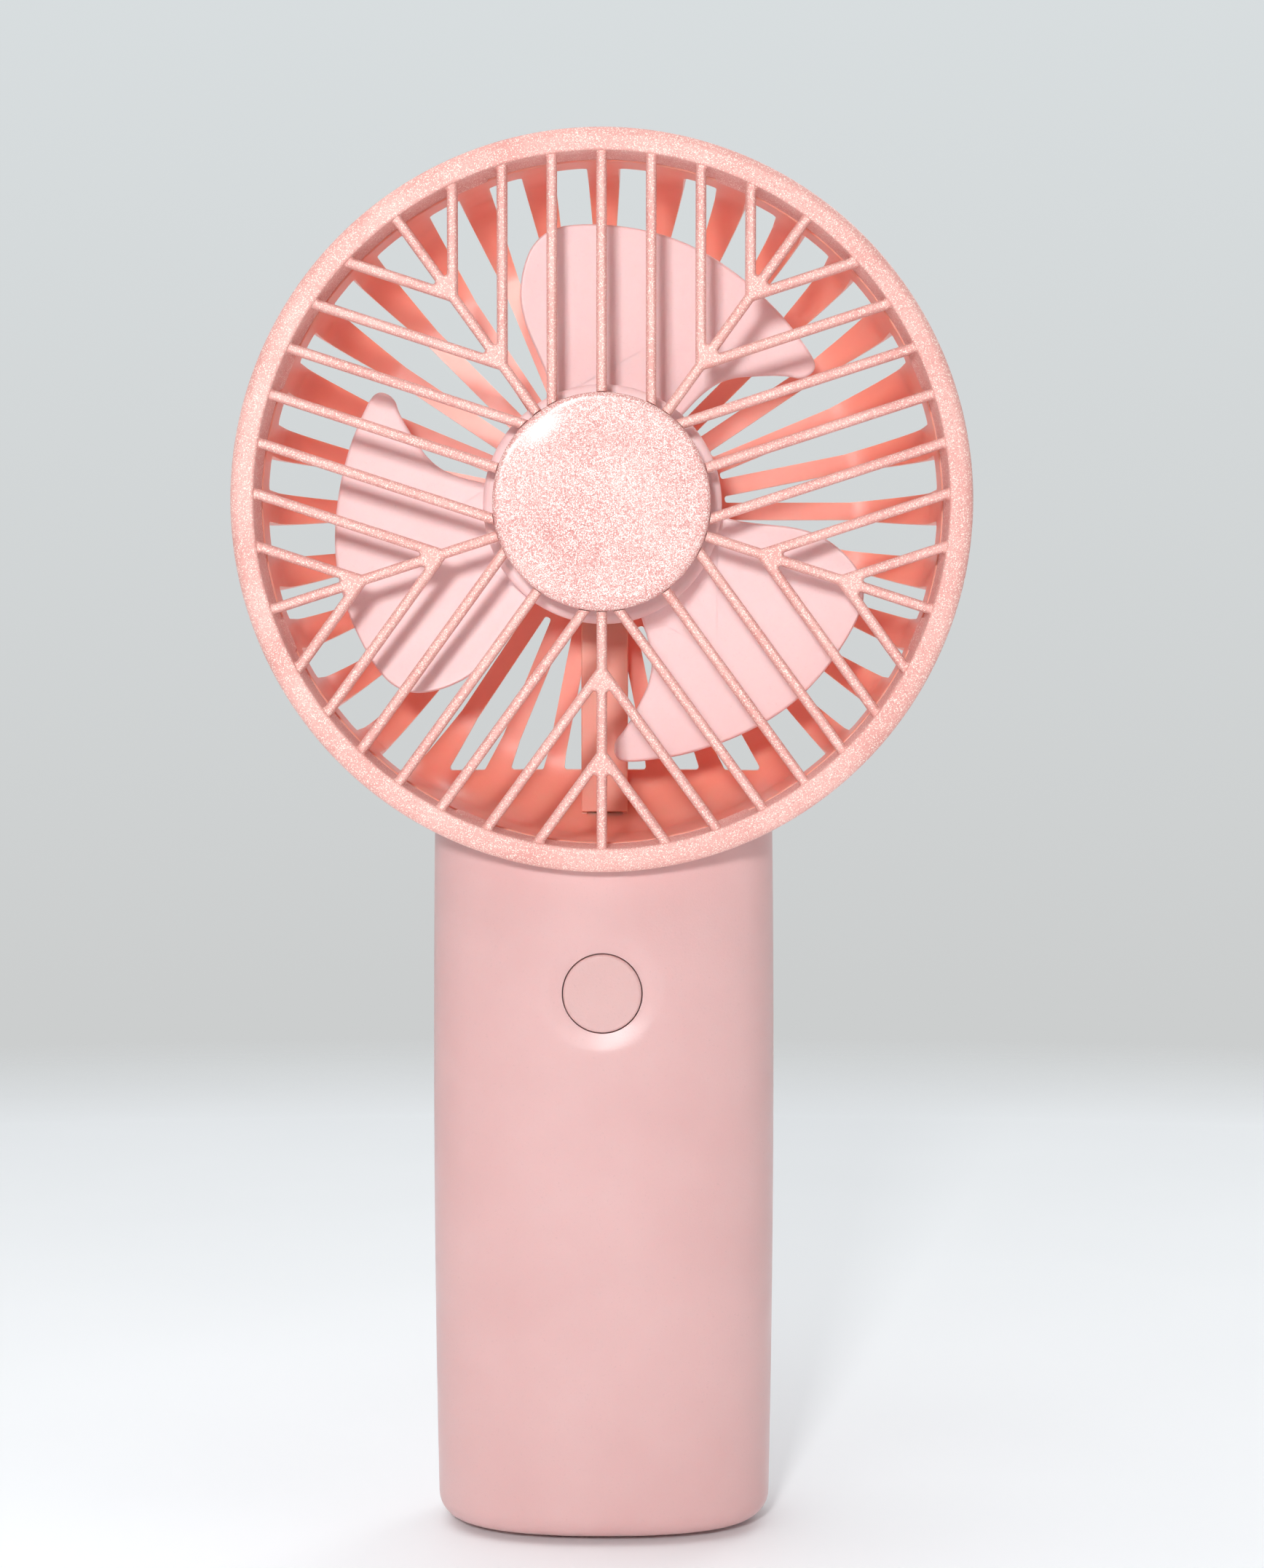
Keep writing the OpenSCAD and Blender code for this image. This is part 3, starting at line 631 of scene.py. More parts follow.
def make_blade(turn):
    """One blade with rounded edges, turned by an angle about the axis."""
    edge = [Vector((r * math.cos(math.radians(a)), r * math.sin(math.radians(a))))
            for a, r in BLADE_OUTLINE]
    outline = anticlockwise(clean(softened(edge), 0.02))
    middle = sum(outline, Vector((0, 0))) / len(outline)
    half = BLADE_T / 2
    inset = 0.5
    lips = [(inset * (1 - math.sin(math.radians(a))), half * math.cos(math.radians(a)))
            for a in (0, 30, 60, 90)]
    inner = grow(outline, -inset)
    rings = [([middle + (p - middle) * share for p in inner], half)
             for share in (0.04, 0.2, 0.4, 0.6, 0.8, 0.93)]
    rings += [(grow(outline, -tuck), h) for tuck, h in lips]
    full = rings + [(ring, -h) for ring, h in rings[-2::-1]]
    points = [[(*spun([p], turn)[0], blade_height(p) + h) for p in ring] for ring, h in full]
    return skin("blade", points, in_head)


def make_impeller():
    """The hub, a cap with a boss for the shaft inside, and its blades."""
    room_r = HUB_R - 1.2
    room_front = HUB_FRONT - 1.6
    boss_r = 3.2
    boss_back = 2.4
    shaft_r = 1
    shaft_front = 9.6
    hub = lathe("impeller_piece", fillet([
        (0, HUB_FRONT, 0), (HUB_R, HUB_FRONT, 1.1), (HUB_R, HUB_BACK, 0.3),
        (room_r, HUB_BACK, 0.3), (room_r, room_front, 0.8), (boss_r, room_front, 0.5),
        (boss_r, boss_back, 0.2), (shaft_r, boss_back, 0), (shaft_r, shaft_front, 0),
        (0, shaft_front, 0),
    ], 6), 144)
    for k in range(BLADES):
        add(hub, make_blade(k * 360 / BLADES))
    return hub


# ---- Handle ----

SQUARENESS = 2.4
BARREL = 0.36
BARREL_Z = 61
BARREL_REACH = 45
EDGE_R = 3.4
FLOOR_T = 2.4
PAD_RECESS = 1.2
PAD_W = high("base_pad").x
PAD_D = high("base_pad").y
POST_R = 3.3
BOTTOM_SCREW = (16.5, 14)
USB_HALF = 2.84
USB_R = 1.78
USB_Z = 7.23
PIPE_X = 7.6
PIPE_Z = 7.2
DISH_R = 8.3
DISH_DEPTH = 0.62
DISH_EDGE = 0.36
FINE_HALF = 10


def half_width(z):
    """Half of the handle's width at a height."""
    return HANDLE_W - BARREL * ((z - BARREL_Z) / BARREL_REACH) ** 2


def oval_turns():
    """Angles round the handle's section, closer together across the middle of its front."""
    front = [math.acos(math.copysign(abs(x / HANDLE_W) ** (SQUARENESS / 2), x))
             for x in (11 - 0.55 * k for k in range(41))]
    side = front[0]
    sides = 18
    rear = 64
    right = [side * k / sides for k in range(sides)]
    left = [math.pi - side * (1 - (k + 1) / sides) for k in range(sides - 1)]
    behind = [math.pi * (1 + k / rear) for k in range(rear)]
    return right + front + left + behind


def oval(a, b, z, turns):
    """A section of the handle: half width a, half depth b. Its front is towards -Y."""
    ring = []
    for t in turns:
        x = a * math.copysign(abs(math.cos(t)) ** (2 / SQUARENESS), math.cos(t))
        y = -b * math.copysign(abs(math.sin(t)) ** (2 / SQUARENESS), math.sin(t))
        ring.append((x, y, z))
    return ring


def dish(x, y, z):
    """Sinks the handle's front round the button."""
    away = math.hypot(x, z - BUTTON_Z) / DISH_R
    if y > 0 or away >= 1:
        return (x, y, z)
    depth = DISH_DEPTH * min(1, (1 - away) / DISH_EDGE) ** 1.25
    return (x, max(y, min(y + depth, DISH_DEPTH - HANDLE_D + 0.05 * away)), z)


def handle_form(name, inset, bottom, round_r, top, dished=False):
    """The handle's solid form, drawn in by a wall thickness, in finer steps round the button."""
    turns = oval_turns()
    coarse = [bottom + round_r + 2.4 * k for k in range(60)]
    heights = [z for z in coarse if z < BUTTON_Z - FINE_HALF]
    heights += [BUTTON_Z - FINE_HALF + 0.5 * k for k in range(41)]
    heights += [z for z in coarse if BUTTON_Z + FINE_HALF < z < top] + [top]
    rings = []
    edge_steps = 9
    for k in range(edge_steps):
        a = math.radians(90 * k / edge_steps)
        draw = inset + round_r * (1 - math.sin(a))
        z = bottom + round_r * (1 - math.cos(a))
        rings.append(oval(half_width(z) - draw, HANDLE_D - draw, z, turns))
    for z in heights:
        rings.append(oval(half_width(z) - inset, HANDLE_D - inset, z, turns))
    if dished:
        rings = [[dish(*p) for p in ring] for ring in rings]
    return skin(name, rings)


def make_handle_shell():
    """Both halves of the handle before they are parted."""
    shell = handle_form("handle", 0, HANDLE_BOTTOM, EDGE_R, HANDLE_TOP, dished=True)
    cut(shell, handle_form("room", WALL, HANDLE_BOTTOM + FLOOR_T, EDGE_R - WALL, HANDLE_TOP + 2))
    bowl_r = BOWL_R + GAP
    ring_r = RING_R + GAP
    beyond = RING_FRONT + 5
    bowl_room = fillet([(0, BOWL_BACK - GAP, 0), (bowl_r, BOWL_BACK - GAP, BOWL_CORNER_R),
                        (bowl_r, RING_BACK - GAP, 0), (ring_r, RING_BACK - GAP, 0),
                        (ring_r, beyond, 0), (0, beyond, 0)], 16)
    pad_room = [Vector(p[:2]) for p in oval(PAD_W + GAP, PAD_D + GAP, 0, oval_turns())]
    cut(shell, lathe("bowl_room", bowl_room, 256),
        stack("pad_room", pad_room, [(-1, 0), (HANDLE_BOTTOM + PAD_RECESS, 0)], upright))
    return shell


def disc(name, x, z, levels, steps=40):
    """A round solid along Y, through levels (y, radius)."""
    return skin(name, [[(p.x, y, p.y) for p in circle(x, z, r, steps)] for y, r in levels])


def screw_places():
    """The x and z of the four screws."""
    return [(side * x, z) for x, z in (TOP_SCREW, BOTTOM_SCREW) for side in (-1, 1)]


def parting_box(front):
    """The space in front of the parting plane, or behind it."""
    side = -1 if front else 1
    near = side * 0.05
    far = side * 40
    return block("parting", (-60, min(near, far), -5), (60, max(near, far), 120))


def screw_posts(y_from, y_to, y_top):
    """The four posts round the screws, kept inside the shell. The upper two end at y_top."""
    ends = {TOP_SCREW[1]: y_top, BOTTOM_SCREW[1]: y_to}
    posts = [disc("post", x, z, [(y_from, POST_R), (ends[z], POST_R)], 48)
             for x, z in screw_places()]
    inside = handle_form("inside", WALL / 2, HANDLE_BOTTOM + FLOOR_T / 2, EDGE_R - WALL,
                         HANDLE_TOP - 7)
    return combine(joined("posts", posts), inside, "INTERSECT")


def make_handle_front(shell):
    """The front half, with the button's hole and posts for the screws' threads."""
    front = shell.copy()
    front.data = shell.data.copy()
    front.name = "handle_front_piece"
    bpy.context.scene.collection.objects.link(front)
    combine(front, parting_box(True), "INTERSECT")
    hole_r = BUTTON_R + 0.15
    cut(front, disc("button_hole", 0, BUTTON_Z, [(-HANDLE_D - 2, hole_r), (-10, hole_r)], 96))
    add(front, screw_posts(-HANDLE_D, -0.3, -2))
    for x, z in screw_places():
        cut(front, disc("pilot", x, z, [(-9.5, SCREW_R), (1, SCREW_R)], 24))
    return front


def make_handle_rear(shell):
    """The rear half, with the screws' sunk holes and the openings of the socket and its light."""
    head_hole_r = 2.4
    shell.name = "handle_rear_piece"
    combine(shell, parting_box(False), "INTERSECT")
    add(shell, screw_posts(HANDLE_D, 0.3, 2))
    for x, z in screw_places():
        cut(shell, disc("bore", x, z, [(-1, SCREW_HOLE_R), (9, SCREW_HOLE_R)], 32),
            disc("counterbore", x, z, [(7, head_hole_r), (HANDLE_D + 3, head_hole_r)], 48))
    mouth = []
    for k in range(48):
        a = 2 * math.pi * k / 48
        mouth.append(Vector((math.copysign(USB_HALF, math.cos(a)) + USB_R * math.cos(a),
                             USB_R * math.sin(a))))
    cutter = skin("mouth", [[(p.x, y, USB_Z + p.y) for p in grow(mouth, amount)]
                            for y, amount in ((10.9, 0), (14.2, 0), (14.5, 0.1), (17, 1.6))])
    cut(shell, cutter, disc("pipe_hole", PIPE_X, PIPE_Z, [(8, 1), (20, 1)], 32))
    return shell


def make_base_pad():
    """The soft pad under the handle, with two grooves round its underside."""
    outline = [Vector(p[:2]) for p in oval(PAD_W, PAD_D, 0, oval_turns())]
    top = HANDLE_BOTTOM + PAD_RECESS - 0.05
    pad = stack("base_pad_piece", outline, [(0, -0.35), (0.1, -0.12), (0.3, 0), (top, 0)], upright)
    for inset in (2.2, 4.4):
        groove = stack("groove", outline, [(-0.5, -inset), (0.25, -inset - 0.25)], upright)
        core = stack("core", outline, [(-1, -inset - 0.9), (0.5, -inset - 0.6)], upright)
        cut(pad, cut(groove, core))
    return pad


# ---- Button and screws ----

def make_button():
    """The button: a flat face with a soft edge, over a flange and a stem."""
    back = -high("button").y
    flange = HANDLE_D - WALL - 0.6
    flange_back = flange - 1
    flange_r = BUTTON_R + 1.2
    stem_r = 1.6
    return lathe("button_piece", fillet([
        (0, BUTTON_FRONT - 0.12, 0), (2.4, BUTTON_FRONT - 0.05, 0), (BUTTON_R, BUTTON_FRONT, 0.45),
        (BUTTON_R, flange, 0), (flange_r, flange, 0.15), (flange_r, flange_back, 0.15),
        (stem_r, flange_back, 0.2), (stem_r, back, 0.2), (0, back, 0),
    ], 6), 96, at_button)


def make_screws():
    """Four pan-head screws with a cross recess, in from the back."""
    head_back = -8.6
    head_front = -7
    head_r = 2.1
    profile = fillet([
        (0, head_back, 0), (head_r, head_back, 0.8), (head_r, head_front, 0.1),
        (SCREW_R, head_front, 0), (SCREW_R, 5.6, 0.1), (0.2, 6.4, 0), (0, 6.5, 0),
    ], 5)
    bar = fillet([(x, y, 0.1) for x, y in ((-1.15, -0.24), (1.15, -0.24), (1.15, 0.24),
                                           (-1.15, 0.24))], 2)
    made = []
    for x, z in screw_places():
        def place(px, py, h, cx=x, cz=z):
            return (cx + px, -h, cz + py)

        screw = lathe("screw", profile, 40, place)
        for turned in (20, 110):
            cut(screw, stack("recess", spun(bar, turned), [(-9, 0.05), (-7.7, -0.1)], place))
        made.append(screw)
    return joined("handle_screws_piece", made)


# ---- Materials ----

def linear(r, g, b):
    """An sRGB colour, 0 to 255, as the shader wants it."""
    def channel(v):
        v /= 255
        return v / 12.92 if v <= 0.04045 else ((v + 0.055) / 1.055) ** 2.4
    return (channel(r), channel(g), channel(b), 1)


def darker(colour, share):
    """A share of a colour's light."""
    return tuple(share * c for c in colour[:3]) + (1,)


class Finish:
    """A material under construction: a Principled shader fed by small procedural steps.

    On a Mix node, inputs 6 and 7 and output 2 are the colours.
    """

    def __init__(self, name, colour, rough, **settings):
        self.material = bpy.data.materials.new(name)
        self.material.use_nodes = True
        self.tree = self.material.node_tree
        self.shader = self.tree.nodes["Principled BSDF"]
        self.coords = self.node("ShaderNodeTexCoord").outputs["Object"]
        self.colour = None
        self.normal = None
        self.base = colour
        self.shader.inputs["Base Color"].default_value = colour
        self.shader.inputs["Roughness"].default_value = rough
        for key, value in settings.items():
            self.shader.inputs[key.replace("_", " ")].default_value = value

    def node(self, kind, **inputs):
        """A new node, with values for its inputs by name."""
        made = self.tree.nodes.new(kind)
        for key, value in inputs.items():
            made.inputs[key].default_value = value
        return made

    def link(self, source, target):
        self.tree.links.new(source, target)

    def noise(self, size, detail, stretch=(1, 1, 1)):
        """Noise with features of a size in millimetres."""
        noise = self.node("ShaderNodeTexNoise", Scale=1 / (size * MM), Detail=detail)
        mapping = self.node("ShaderNodeMapping")
        mapping.inputs["Scale"].default_value = stretch
        self.link(self.coords, mapping.inputs["Vector"])
        self.link(mapping.outputs["Vector"], noise.inputs["Vector"])
        return noise.outputs["Fac"]

    def ramp(self, source, start, end):
        """The source stretched so that start to end covers 0 to 1."""
        scaled = self.node("ShaderNodeMapRange")
        scaled.inputs["From Min"].default_value = start
        scaled.inputs["From Max"].default_value = end
        self.link(source, scaled.inputs["Value"])
        return scaled.outputs["Result"]

    def math(self, operation, *values):
        """One step of arithmetic on numbers or on outputs of other nodes."""
        step = self.node("ShaderNodeMath")
        step.operation = operation
        for value, socket in zip(values, step.inputs):
            if isinstance(value, (int, float)):
                socket.default_value = value
            else:
                self.link(value, socket)
        return step.outputs[0]

    def vector_math(self, operation, *vectors):
        """One step of arithmetic on vectors or on outputs of other nodes."""
        step = self.node("ShaderNodeVectorMath")
        step.operation = operation
        for value, socket in zip(vectors, step.inputs):
            if isinstance(value, tuple):
                socket.default_value = value
            else:
                self.link(value, socket)
        return step.outputs["Value" if operation == "DISTANCE" else "Vector"]

    def tint(self, factor, colour):
        """Mixes a colour in where the factor is 1."""
        mix = self.node("ShaderNodeMix")
        mix.data_type = "RGBA"
        mix.inputs[6].default_value = self.base
        mix.inputs[7].default_value = colour
        if self.colour:
            self.link(self.colour, mix.inputs[6])
        self.link(factor, mix.inputs[0])
        self.colour = mix.outputs[2]
        self.link(self.colour, self.shader.inputs["Base Color"])

    def roughness(self, factor, low_value, high_value):
        """Roughness from one value to another as the factor goes from 0 to 1."""
        scaled = self.node("ShaderNodeMapRange")
        scaled.inputs["To Min"].default_value = low_value
        scaled.inputs["To Max"].default_value = high_value
        self.link(factor, scaled.inputs["Value"])
        self.link(scaled.outputs["Result"], self.shader.inputs["Roughness"])

    def bump(self, height, depth):
        """Relief of a depth in millimetres."""
        bump = self.node("ShaderNodeBump", Strength=1, Distance=depth * MM)
        self.link(height, bump.inputs["Height"])
        if self.normal:
            self.link(self.normal, bump.inputs["Normal"])
        self.normal = bump.outputs["Normal"]
        self.link(self.normal, self.shader.inputs["Normal"])

    def flakes(self, size, tilt):
        """Small mirror flakes, each tilted its own way. Returns a random value for each flake."""
        cells = self.node("ShaderNodeTexVoronoi", Scale=1 / (size * MM))
        self.link(self.coords, cells.inputs["Vector"])
        centred = self.vector_math("SUBTRACT", cells.outputs["Color"], (0.5, 0.5, 0.5))
        lean = self.vector_math("SCALE", centred)
        lean.node.inputs["Scale"].default_value = tilt
        straight = self.node("ShaderNodeNewGeometry").outputs["Normal"]
        self.normal = self.vector_math("NORMALIZE", self.vector_math("ADD", straight, lean))
        self.link(self.normal, self.shader.inputs["Normal"])
        parts = self.node("ShaderNodeSeparateColor")
        self.link(cells.outputs["Color"], parts.inputs["Color"])
        return parts.outputs["Green"]


def moulded(name, colour, shade, rough, grain=0.28, depth=0.012, **settings):
    """Satin moulded plastic: spark-eroded grain, faint cloudiness and uneven gloss."""
    look = Finish(name, colour, rough, **settings)
    look.tint(look.ramp(look.noise(18, 3), 0.35, 0.75), shade)
    grainy = look.noise(grain, 3)
    look.tint(look.ramp(grainy, 0.62, 0.8), darker(colour, 0.88))
    look.roughness(look.ramp(look.noise(6, 4), 0.3, 0.7), rough - 0.05, rough + 0.06)
    look.bump(grainy, depth)
    return look.material


def pearl(name, colour, spark, dark, size, tilt, share, gloss, **settings):
    """Pearl lacquer over plastic: fine mirror flakes under a thin clear layer. The pale flakes are painted glints
    as well as the pigment's paler tone, and the darkest flakes are painted shade.
    """
    look = Finish(name, colour, gloss[0], **settings)
    flake = look.flakes(size, tilt)
    look.tint(look.ramp(look.noise(9, 3), 0.3, 0.8), dark)
    # Painted glint: the top share of flakes takes the pale spark colour, which is also the pigment's own paler
    # tone.
    look.tint(look.ramp(flake, 1 - share, 1 - share * 0.35), spark)
    # Painted shade: the lowest share of flakes is darkened with the dark colour.
    look.tint(look.ramp(flake, share * 0.6, 0), dark)
    look.roughness(flake, *gloss)
    look.bump(look.noise(0.5, 2), 0.01)
    return look.material


def metal(name, colour, rough, brushed=(1, 1, 1)):
    """Worked metal: fine lines or a fine grain, with a little tarnish."""
    look = Finish(name, colour, rough, Metallic=1.0)
    look.tint(look.ramp(look.noise(3, 4), 0.5, 0.85), darker(colour, 0.6))
    lines = look.noise(0.4, 4, brushed)
    look.roughness(lines, rough - 0.08, rough + 0.12)
    look.bump(lines, 0.006)
    return look.material


def board_look():
    """Green solder mask with copper tracks showing through."""
    look = Finish("board_look", linear(24, 98, 62), 0.35, Coat_Weight=0.4)
    tracks = look.node("ShaderNodeTexVoronoi", Scale=1 / (2.2 * MM))
    tracks.distance = "MANHATTAN"
    tracks.feature = "F2"
    look.link(look.coords, tracks.inputs["Vector"])
    bands = look.math("FRACT", look.math("MULTIPLY", tracks.outputs["Distance"], 3.5))
    look.tint(look.ramp(bands, 0.72, 0.78), linear(46, 132, 84))
    look.bump(look.ramp(bands, 0.7, 0.8), 0.03)
    look.roughness(look.noise(2, 3), 0.28, 0.45)
    return look.material


def wound_look():
    """Enamelled copper wire laid in turns round the armature's poles."""
    look = Finish("wound_look", linear(176, 92, 48), 0.3, Metallic=0.8, Coat_Weight=0.5)
    wires = look.node("ShaderNodeTexWave", Scale=1 / (2.4 * MM), Distortion=0.6, Detail=1.0)
    look.link(look.coords, wires.inputs["Vector"])
    look.tint(wires.outputs["Fac"], linear(120, 52, 24))
    look.bump(wires.outputs["Fac"], 0.08)
    look.roughness(look.noise(1.5, 2), 0.22, 0.42)
    return look.material


def sleeve_look():
    """Shrink sleeve over the cell, a little wrinkled."""
    look = Finish("sleeve_look", linear(66, 158, 152), 0.28, Coat_Weight=0.3)
    look.tint(look.ramp(look.noise(7, 3), 0.45, 0.8), linear(52, 132, 130))
    look.roughness(look.noise(4, 3), 0.2, 0.4)
    look.bump(look.noise(1.6, 3, (1, 1, 0.25)), 0.03)
    return look.material


def foam_look():
    """Closed-cell foam."""
    look = Finish("foam_look", linear(72, 72, 76), 0.95, Sheen_Weight=0.25)
    cells = look.node("ShaderNodeTexVoronoi", Scale=1 / (0.45 * MM))
    look.link(look.coords, cells.inputs["Vector"])
    look.tint(look.ramp(cells.outputs["Distance"], 0.2, 0.7), linear(48, 48, 52))
    look.bump(cells.outputs["Distance"], 0.12)
    return look.material


def rubbery(name, colour, rough):
    """Soft rubber or wire insulation, with a fine skin texture."""
    look = Finish(name, colour, rough)
    look.tint(look.ramp(look.noise(2.5, 3), 0.4, 0.8), darker(colour, 0.8))
    look.roughness(look.noise(1.2, 3), rough - 0.1, rough + 0.1)
    look.bump(look.noise(0.35, 3), 0.02)
    return look.material


def clear_look():
    """Clear moulded light guide, slightly milky inside."""
    look = Finish("clear_look", linear(240, 244, 244), 0.15, Transmission_Weight=0.55, IOR=1.49)
    look.tint(look.ramp(look.noise(1.5, 2), 0.4, 0.8), linear(226, 234, 236))
    look.roughness(look.noise(0.8, 2), 0.12, 0.24)
    look.bump(look.noise(0.6, 2), 0.005)
    return look.material


soft = {"Subsurface_Weight": 0.25, "Subsurface_Radius": (1.0, 0.45, 0.35),
        "Subsurface_Scale": 0.0012}

looks = {
    # In pearl(), the spark colour is a painted glint, and the dark colour gives cloudiness as well as painted
    # flake shade.
    "pearl_plastic": pearl("pearl_look", linear(236, 182, 174), linear(255, 230, 220),
                           linear(220, 154, 146), 0.13, 0.3, 0.26, (0.4, 0.58), Metallic=0.1,
                           Specular_IOR_Level=0.2),
    "glitter_plastic": pearl("glitter_look", linear(222, 170, 164), linear(255, 238, 232),
                             linear(204, 136, 131), 0.12, 0.42, 0.4, (0.3, 0.48), Coat_Weight=0.24,
                             Coat_Roughness=0.2, Metallic=0.12, Specular_IOR_Level=0.3),
    "pink_shell": moulded("shell_look", linear(221, 179, 177), linear(216, 171, 169), 0.34,
                          **soft),
    "blade_plastic": moulded("blade_look", linear(248, 219, 219), linear(244, 213, 213), 0.5,
                             0.3, 0.006, **soft),
    "button_plastic": moulded("button_look", linear(216, 175, 172), linear(211, 169, 166), 0.48,
                              0.3, 0.02, **soft),
    "pad_rubber": rubbery("pad_look", linear(228, 180, 176), 0.7),
    "steel": metal("steel_look", linear(200, 200, 204), 0.3, (1, 1, 6)),
    "copper": wound_look(),
    "bronze": metal("bronze_look", linear(184, 146, 96), 0.4),
    "magnet": metal("magnet_look", linear(70, 70, 74), 0.6),
    "white_nylon": moulded("nylon_look", linear(236, 234, 224), linear(226, 223, 210), 0.45),
    "black_plastic": moulded("black_look", linear(34, 34, 38), linear(44, 44, 48), 0.5),
    "board": board_look(),
    "capacitor": moulded("capacitor_look", linear(186, 150, 104), linear(168, 132, 90), 0.4),
    "clear_plastic": clear_look(),
    "cell_sleeve": sleeve_look(),
    "foam": foam_look(),
    "lead_red": rubbery("lead_red_look", linear(196, 30, 28), 0.45),
    "lead_black": rubbery("lead_black_look", linear(30, 30, 32), 0.45),
    "lead_yellow": rubbery("lead_yellow_look", linear(222, 178, 40), 0.45),
}


def make_bowl_painted_glow_look():
    """The bowl's thin, translucent moulding: pink outside, with coral painted on its inner faces as the glow of
    light bounced about inside the housing.
    """
    # The coral base colour is a painted glow of light bounced inside the housing, not the plastic's own colour.
    look = Finish("bowl_painted_glow_look", linear(246, 162, 144), 0.4, Subsurface_Weight=0.6, Coat_Weight=0.1,
                  Subsurface_Radius=(1.0, 0.3, 0.2), Subsurface_Scale=0.003, Coat_Roughness=0.25)
    look.tint(look.ramp(look.noise(18, 3), 0.35, 0.75), linear(243, 151, 132))
    parts = look.node("ShaderNodeSeparateXYZ")
    look.link(look.coords, parts.inputs[0])
    across = look.vector_math("MULTIPLY", look.coords, (1, 0, 1))
    from_axis = look.vector_math("DISTANCE", across, (0, 0, AXIS_Z * MM))
    beyond_flat = look.math("MAXIMUM", look.math("SUBTRACT", from_axis, BOWL_FLAT_R * MM), 0)
    behind_side = look.math("MAXIMUM", look.math("ADD", parts.outputs["Y"],
                                                 (BOWL_BACK + BOWL_CORNER_R) * MM), 0)
    squares = look.math("ADD", look.math("POWER", beyond_flat, 2),
                        look.math("POWER", behind_side, 2))
    # Towards the outer skin the colour turns to the moulding's own pink; the painted coral glow stays on the inner
    # faces.
    look.tint(look.ramp(look.math("SQRT", squares), (BOWL_CORNER_R - 1.4) * MM,
                        (BOWL_CORNER_R - 0.2) * MM), linear(232, 184, 180))
    look.roughness(look.ramp(look.noise(6, 4), 0.3, 0.7), 0.35, 0.46)
    look.bump(look.noise(0.3, 3), 0.008)
    return look.material


bowl_painted_glow_look = make_bowl_painted_glow_look()


# ---- Putting the fan together ----

SHARP_ANGLE = math.radians(35)
SAME_PLACE = 1e-7


def show(piece, body, slot, *nodes, look=None):
    """Finishes a piece: its shading, its material, its body and the nodes that it replaces."""
    bm = bmesh.new()
    bm.from_mesh(piece.data)
    bmesh.ops.remove_doubles(bm, verts=bm.verts, dist=SAME_PLACE)
    bmesh.ops.dissolve_degenerate(bm, edges=bm.edges, dist=SAME_PLACE)
    bm.to_mesh(piece.data)
    bm.free()
    piece.data.shade_smooth()
    piece.data.set_sharp_from_angle(angle=SHARP_ANGLE)
    weighted = piece.modifiers.new("even shading", "WEIGHTED_NORMAL")
    weighted.keep_sharp = True
    weighted.weight = 60
    piece.data.materials.clear()
    piece.data.materials.append(look or looks[slot])
    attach(piece, body)
    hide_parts(*nodes)


for part in frame["record"]["subparts"]:
    cad = frame["nodes"][part["node"]]
    cad.data.materials.clear()
    cad.data.materials.append(looks[part["material_slot"]])

show(make_front_grille(), "root", "pearl_plastic", "front_grille")
show(make_badge(), "root", "glitter_plastic", "grille_badge")
# The bowl and the wire cover carry the painted coral glow on their inner faces.
show(make_head_housing(), "root", "pink_shell", "head_housing", look=bowl_painted_glow_look)
show(make_wire_cover(), "root", "pink_shell", "wire_cover", look=bowl_painted_glow_look)
show(make_impeller(), "rotor", "blade_plastic", "impeller")
handle_shell = make_handle_shell()
show(make_handle_front(handle_shell), "root", "pink_shell", "handle_front")
show(make_handle_rear(handle_shell), "root", "pink_shell", "handle_rear")
show(make_base_pad(), "root", "pad_rubber", "base_pad")
show(make_button(), "button", "button_plastic", "button")
show(make_screws(), "root", "steel", "handle_screws")


# ---- Floor, light and camera ----

def area_light(name, place, aim, width, height, watts):
    """A soft rectangular light that points at a place. Everything in metres and watts."""
    data = bpy.data.lights.new(name, "AREA")
    data.shape = "RECTANGLE"
    data.size = width
    data.size_y = height
    data.energy = watts
    light = bpy.data.objects.new(name, data)
    light.location = place
    light.rotation_mode = "QUATERNION"
    light.rotation_quaternion = (Vector(aim) - Vector(place)).to_track_quat("-Z", "Y")
    bpy.context.scene.collection.objects.link(light)


def make_floor():
    """A pale table top that ends a good way behind the fan, where it fades into the surround."""
    half = 6.0
    fade_middle = (0, -0.45, 0)
    fade_from = 0.80
    fade_to = 0.95
    mesh = bpy.data.meshes.new("floor")
    mesh.from_pydata([(-half, -half, 0), (half, -half, 0), (half, half, 0), (-half, half, 0)], [],
                     [(0, 1, 2, 3)])
    floor = bpy.data.objects.new("floor", mesh)
    bpy.context.scene.collection.objects.link(floor)
    look = Finish("floor_look", (0.94, 0.955, 0.975, 1), 0.6)
    look.tint(look.ramp(look.noise(60, 2), 0.3, 0.8), (0.92, 0.935, 0.955, 1))
    look.roughness(look.noise(3, 3), 0.55, 0.65)
    look.bump(look.noise(0.6, 2), 0.004)
    away = look.vector_math("DISTANCE", look.coords, fade_middle)
    clear = look.node("ShaderNodeBsdfTransparent")
    fade = look.node("ShaderNodeMixShader")
    look.link(look.ramp(away, fade_from, fade_to), fade.inputs[0])
    look.link(look.shader.outputs[0], fade.inputs[1])
    look.link(clear.outputs[0], fade.inputs[2])
    look.link(fade.outputs[0], look.tree.nodes["Material Output"].inputs["Surface"])
    mesh.materials.append(look.material)


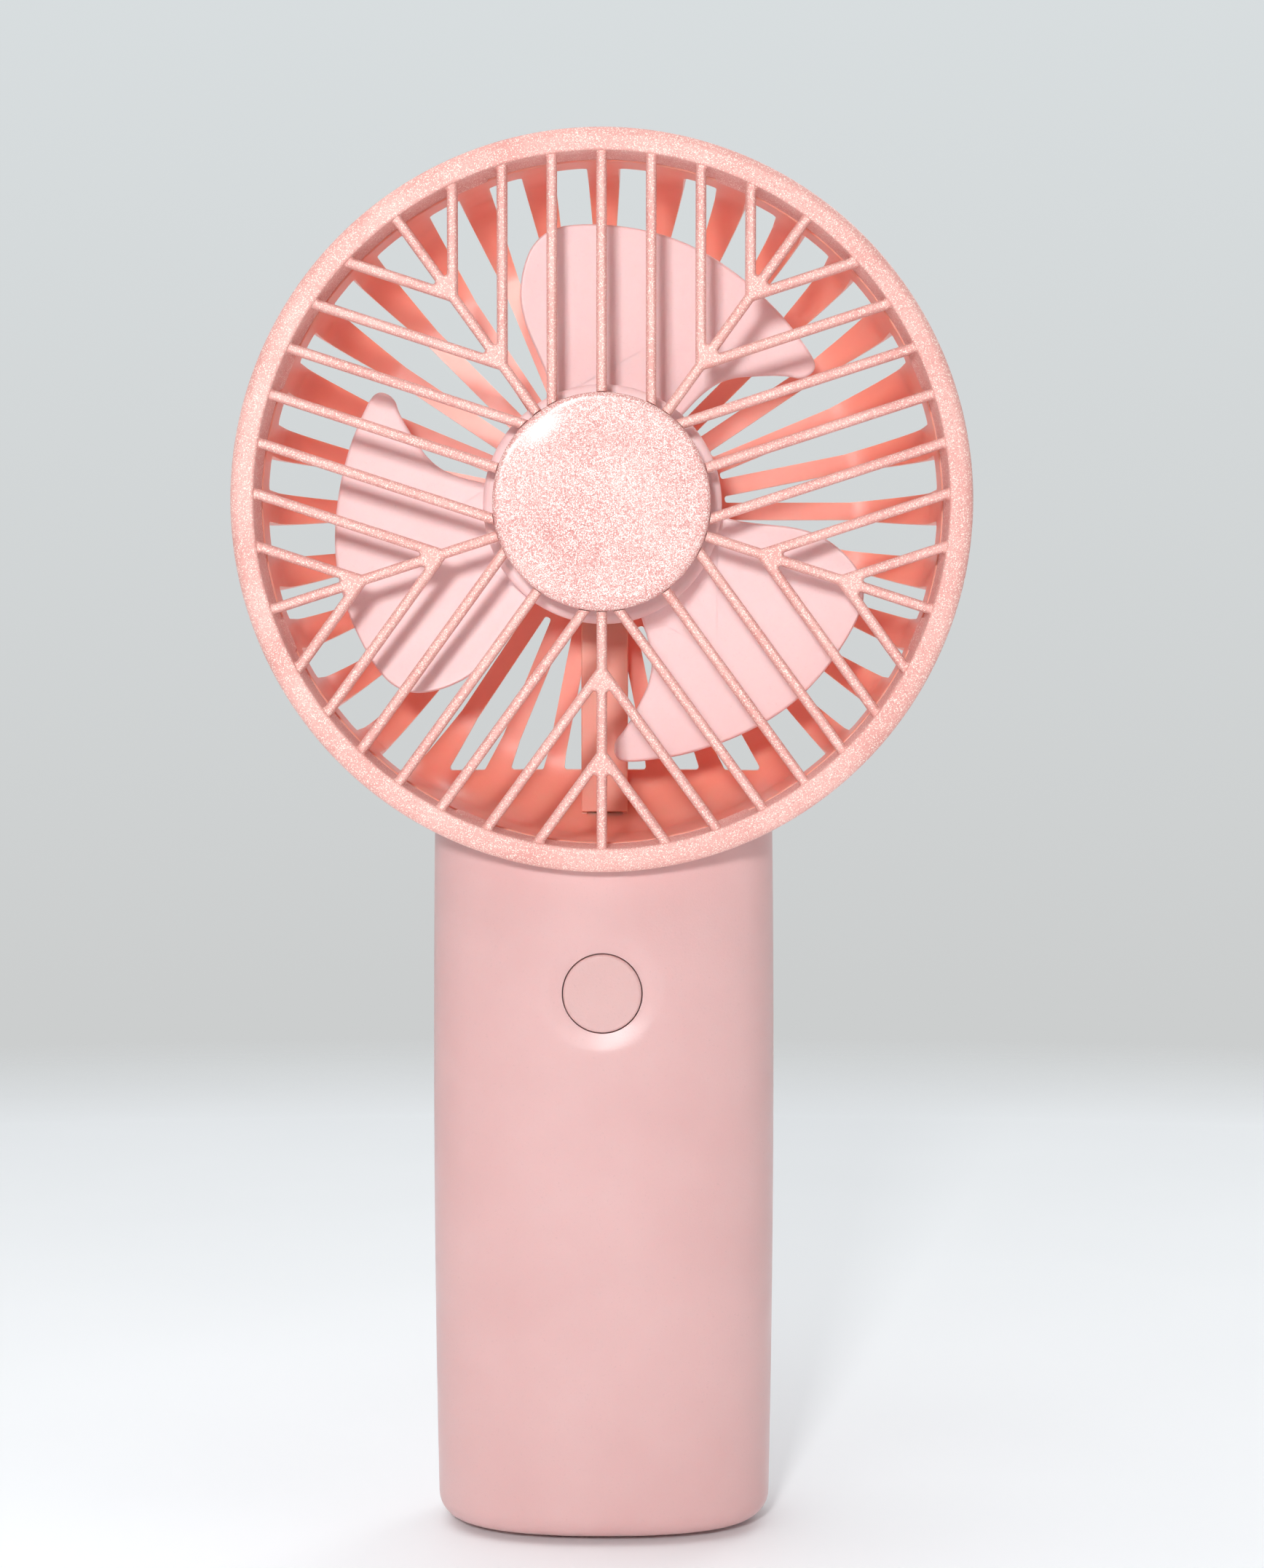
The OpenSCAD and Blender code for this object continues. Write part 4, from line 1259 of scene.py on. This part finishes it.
def make_world():
    """A pale grey surround, a little lighter above, which lights the fan less from in front."""
    world = bpy.data.worlds.new("surround")
    world.use_nodes = True
    tree = world.node_tree
    direction = tree.nodes.new("ShaderNodeTexCoord").outputs["Generated"]
    parts = tree.nodes.new("ShaderNodeSeparateXYZ")
    tree.links.new(direction, parts.inputs[0])

    def graded(source, start, end, first, second):
        """From one colour to another as the source goes from start to end."""
        scaled = tree.nodes.new("ShaderNodeMapRange")
        scaled.inputs["From Min"].default_value = start
        scaled.inputs["From Max"].default_value = end
        tree.links.new(source, scaled.inputs["Value"])
        mix = tree.nodes.new("ShaderNodeMix")
        mix.data_type = "RGBA"
        tree.links.new(scaled.outputs["Result"], mix.inputs[0])
        for value, socket in ((first, mix.inputs[6]), (second, mix.inputs[7])):
            if isinstance(value, tuple):
                socket.default_value = value
            else:
                tree.links.new(value, socket)
        return mix.outputs[2]

    behind = graded(parts.outputs["Z"], -0.12, 0.28, linear(204, 206, 206), linear(219, 225, 227))
    whole = graded(parts.outputs["Y"], -0.1, 0.6, (0.09, 0.09, 0.09, 1), behind)
    seen = tree.nodes.new("ShaderNodeLightPath").outputs["Is Camera Ray"]
    background = tree.nodes["Background"]
    tree.links.new(graded(seen, 0, 1, whole, behind), background.inputs["Color"])
    background.inputs["Strength"].default_value = 1.0
    bpy.context.scene.world = world


def make_camera():
    """The camera stands 0.4 m in front of the head and looks slightly downwards."""
    data = bpy.data.cameras.new("camera")
    data.lens = 68.2
    data.sensor_width = 36
    data.clip_start = 0.01
    data.clip_end = 50
    camera = bpy.data.objects.new("camera", data)
    camera.location = (0.0062, -0.420, 0.127)
    camera.rotation_euler = (math.radians(87.0), 0, math.radians(0.3))
    bpy.context.scene.collection.objects.link(camera)
    bpy.context.scene.camera = camera


make_floor()
make_world()
middle = (0, 0, AXIS_Z * MM)
area_light("key", (-0.060, -0.50, AXIS_Z * MM + 0.085), middle, 0.05, 0.05, 1.6)
area_light("box", (-0.30, -0.75, 0.54), middle, 0.3, 0.3, 0.25)
area_light("top", (-0.2, -0.1, 0.95), (0, 0, 0.1), 0.9, 0.9, 5.2)
area_light("left", (-0.8, -0.2, 0.35), middle, 0.5, 0.6, 0.2)
area_light("right", (0.8, -0.15, 0.25), middle, 0.5, 0.6, 0.9)
area_light("back", (0.5, 0.8, 0.7), middle, 0.4, 0.4, 1.7)
make_camera()
bpy.context.scene.view_settings.view_transform = "Standard"
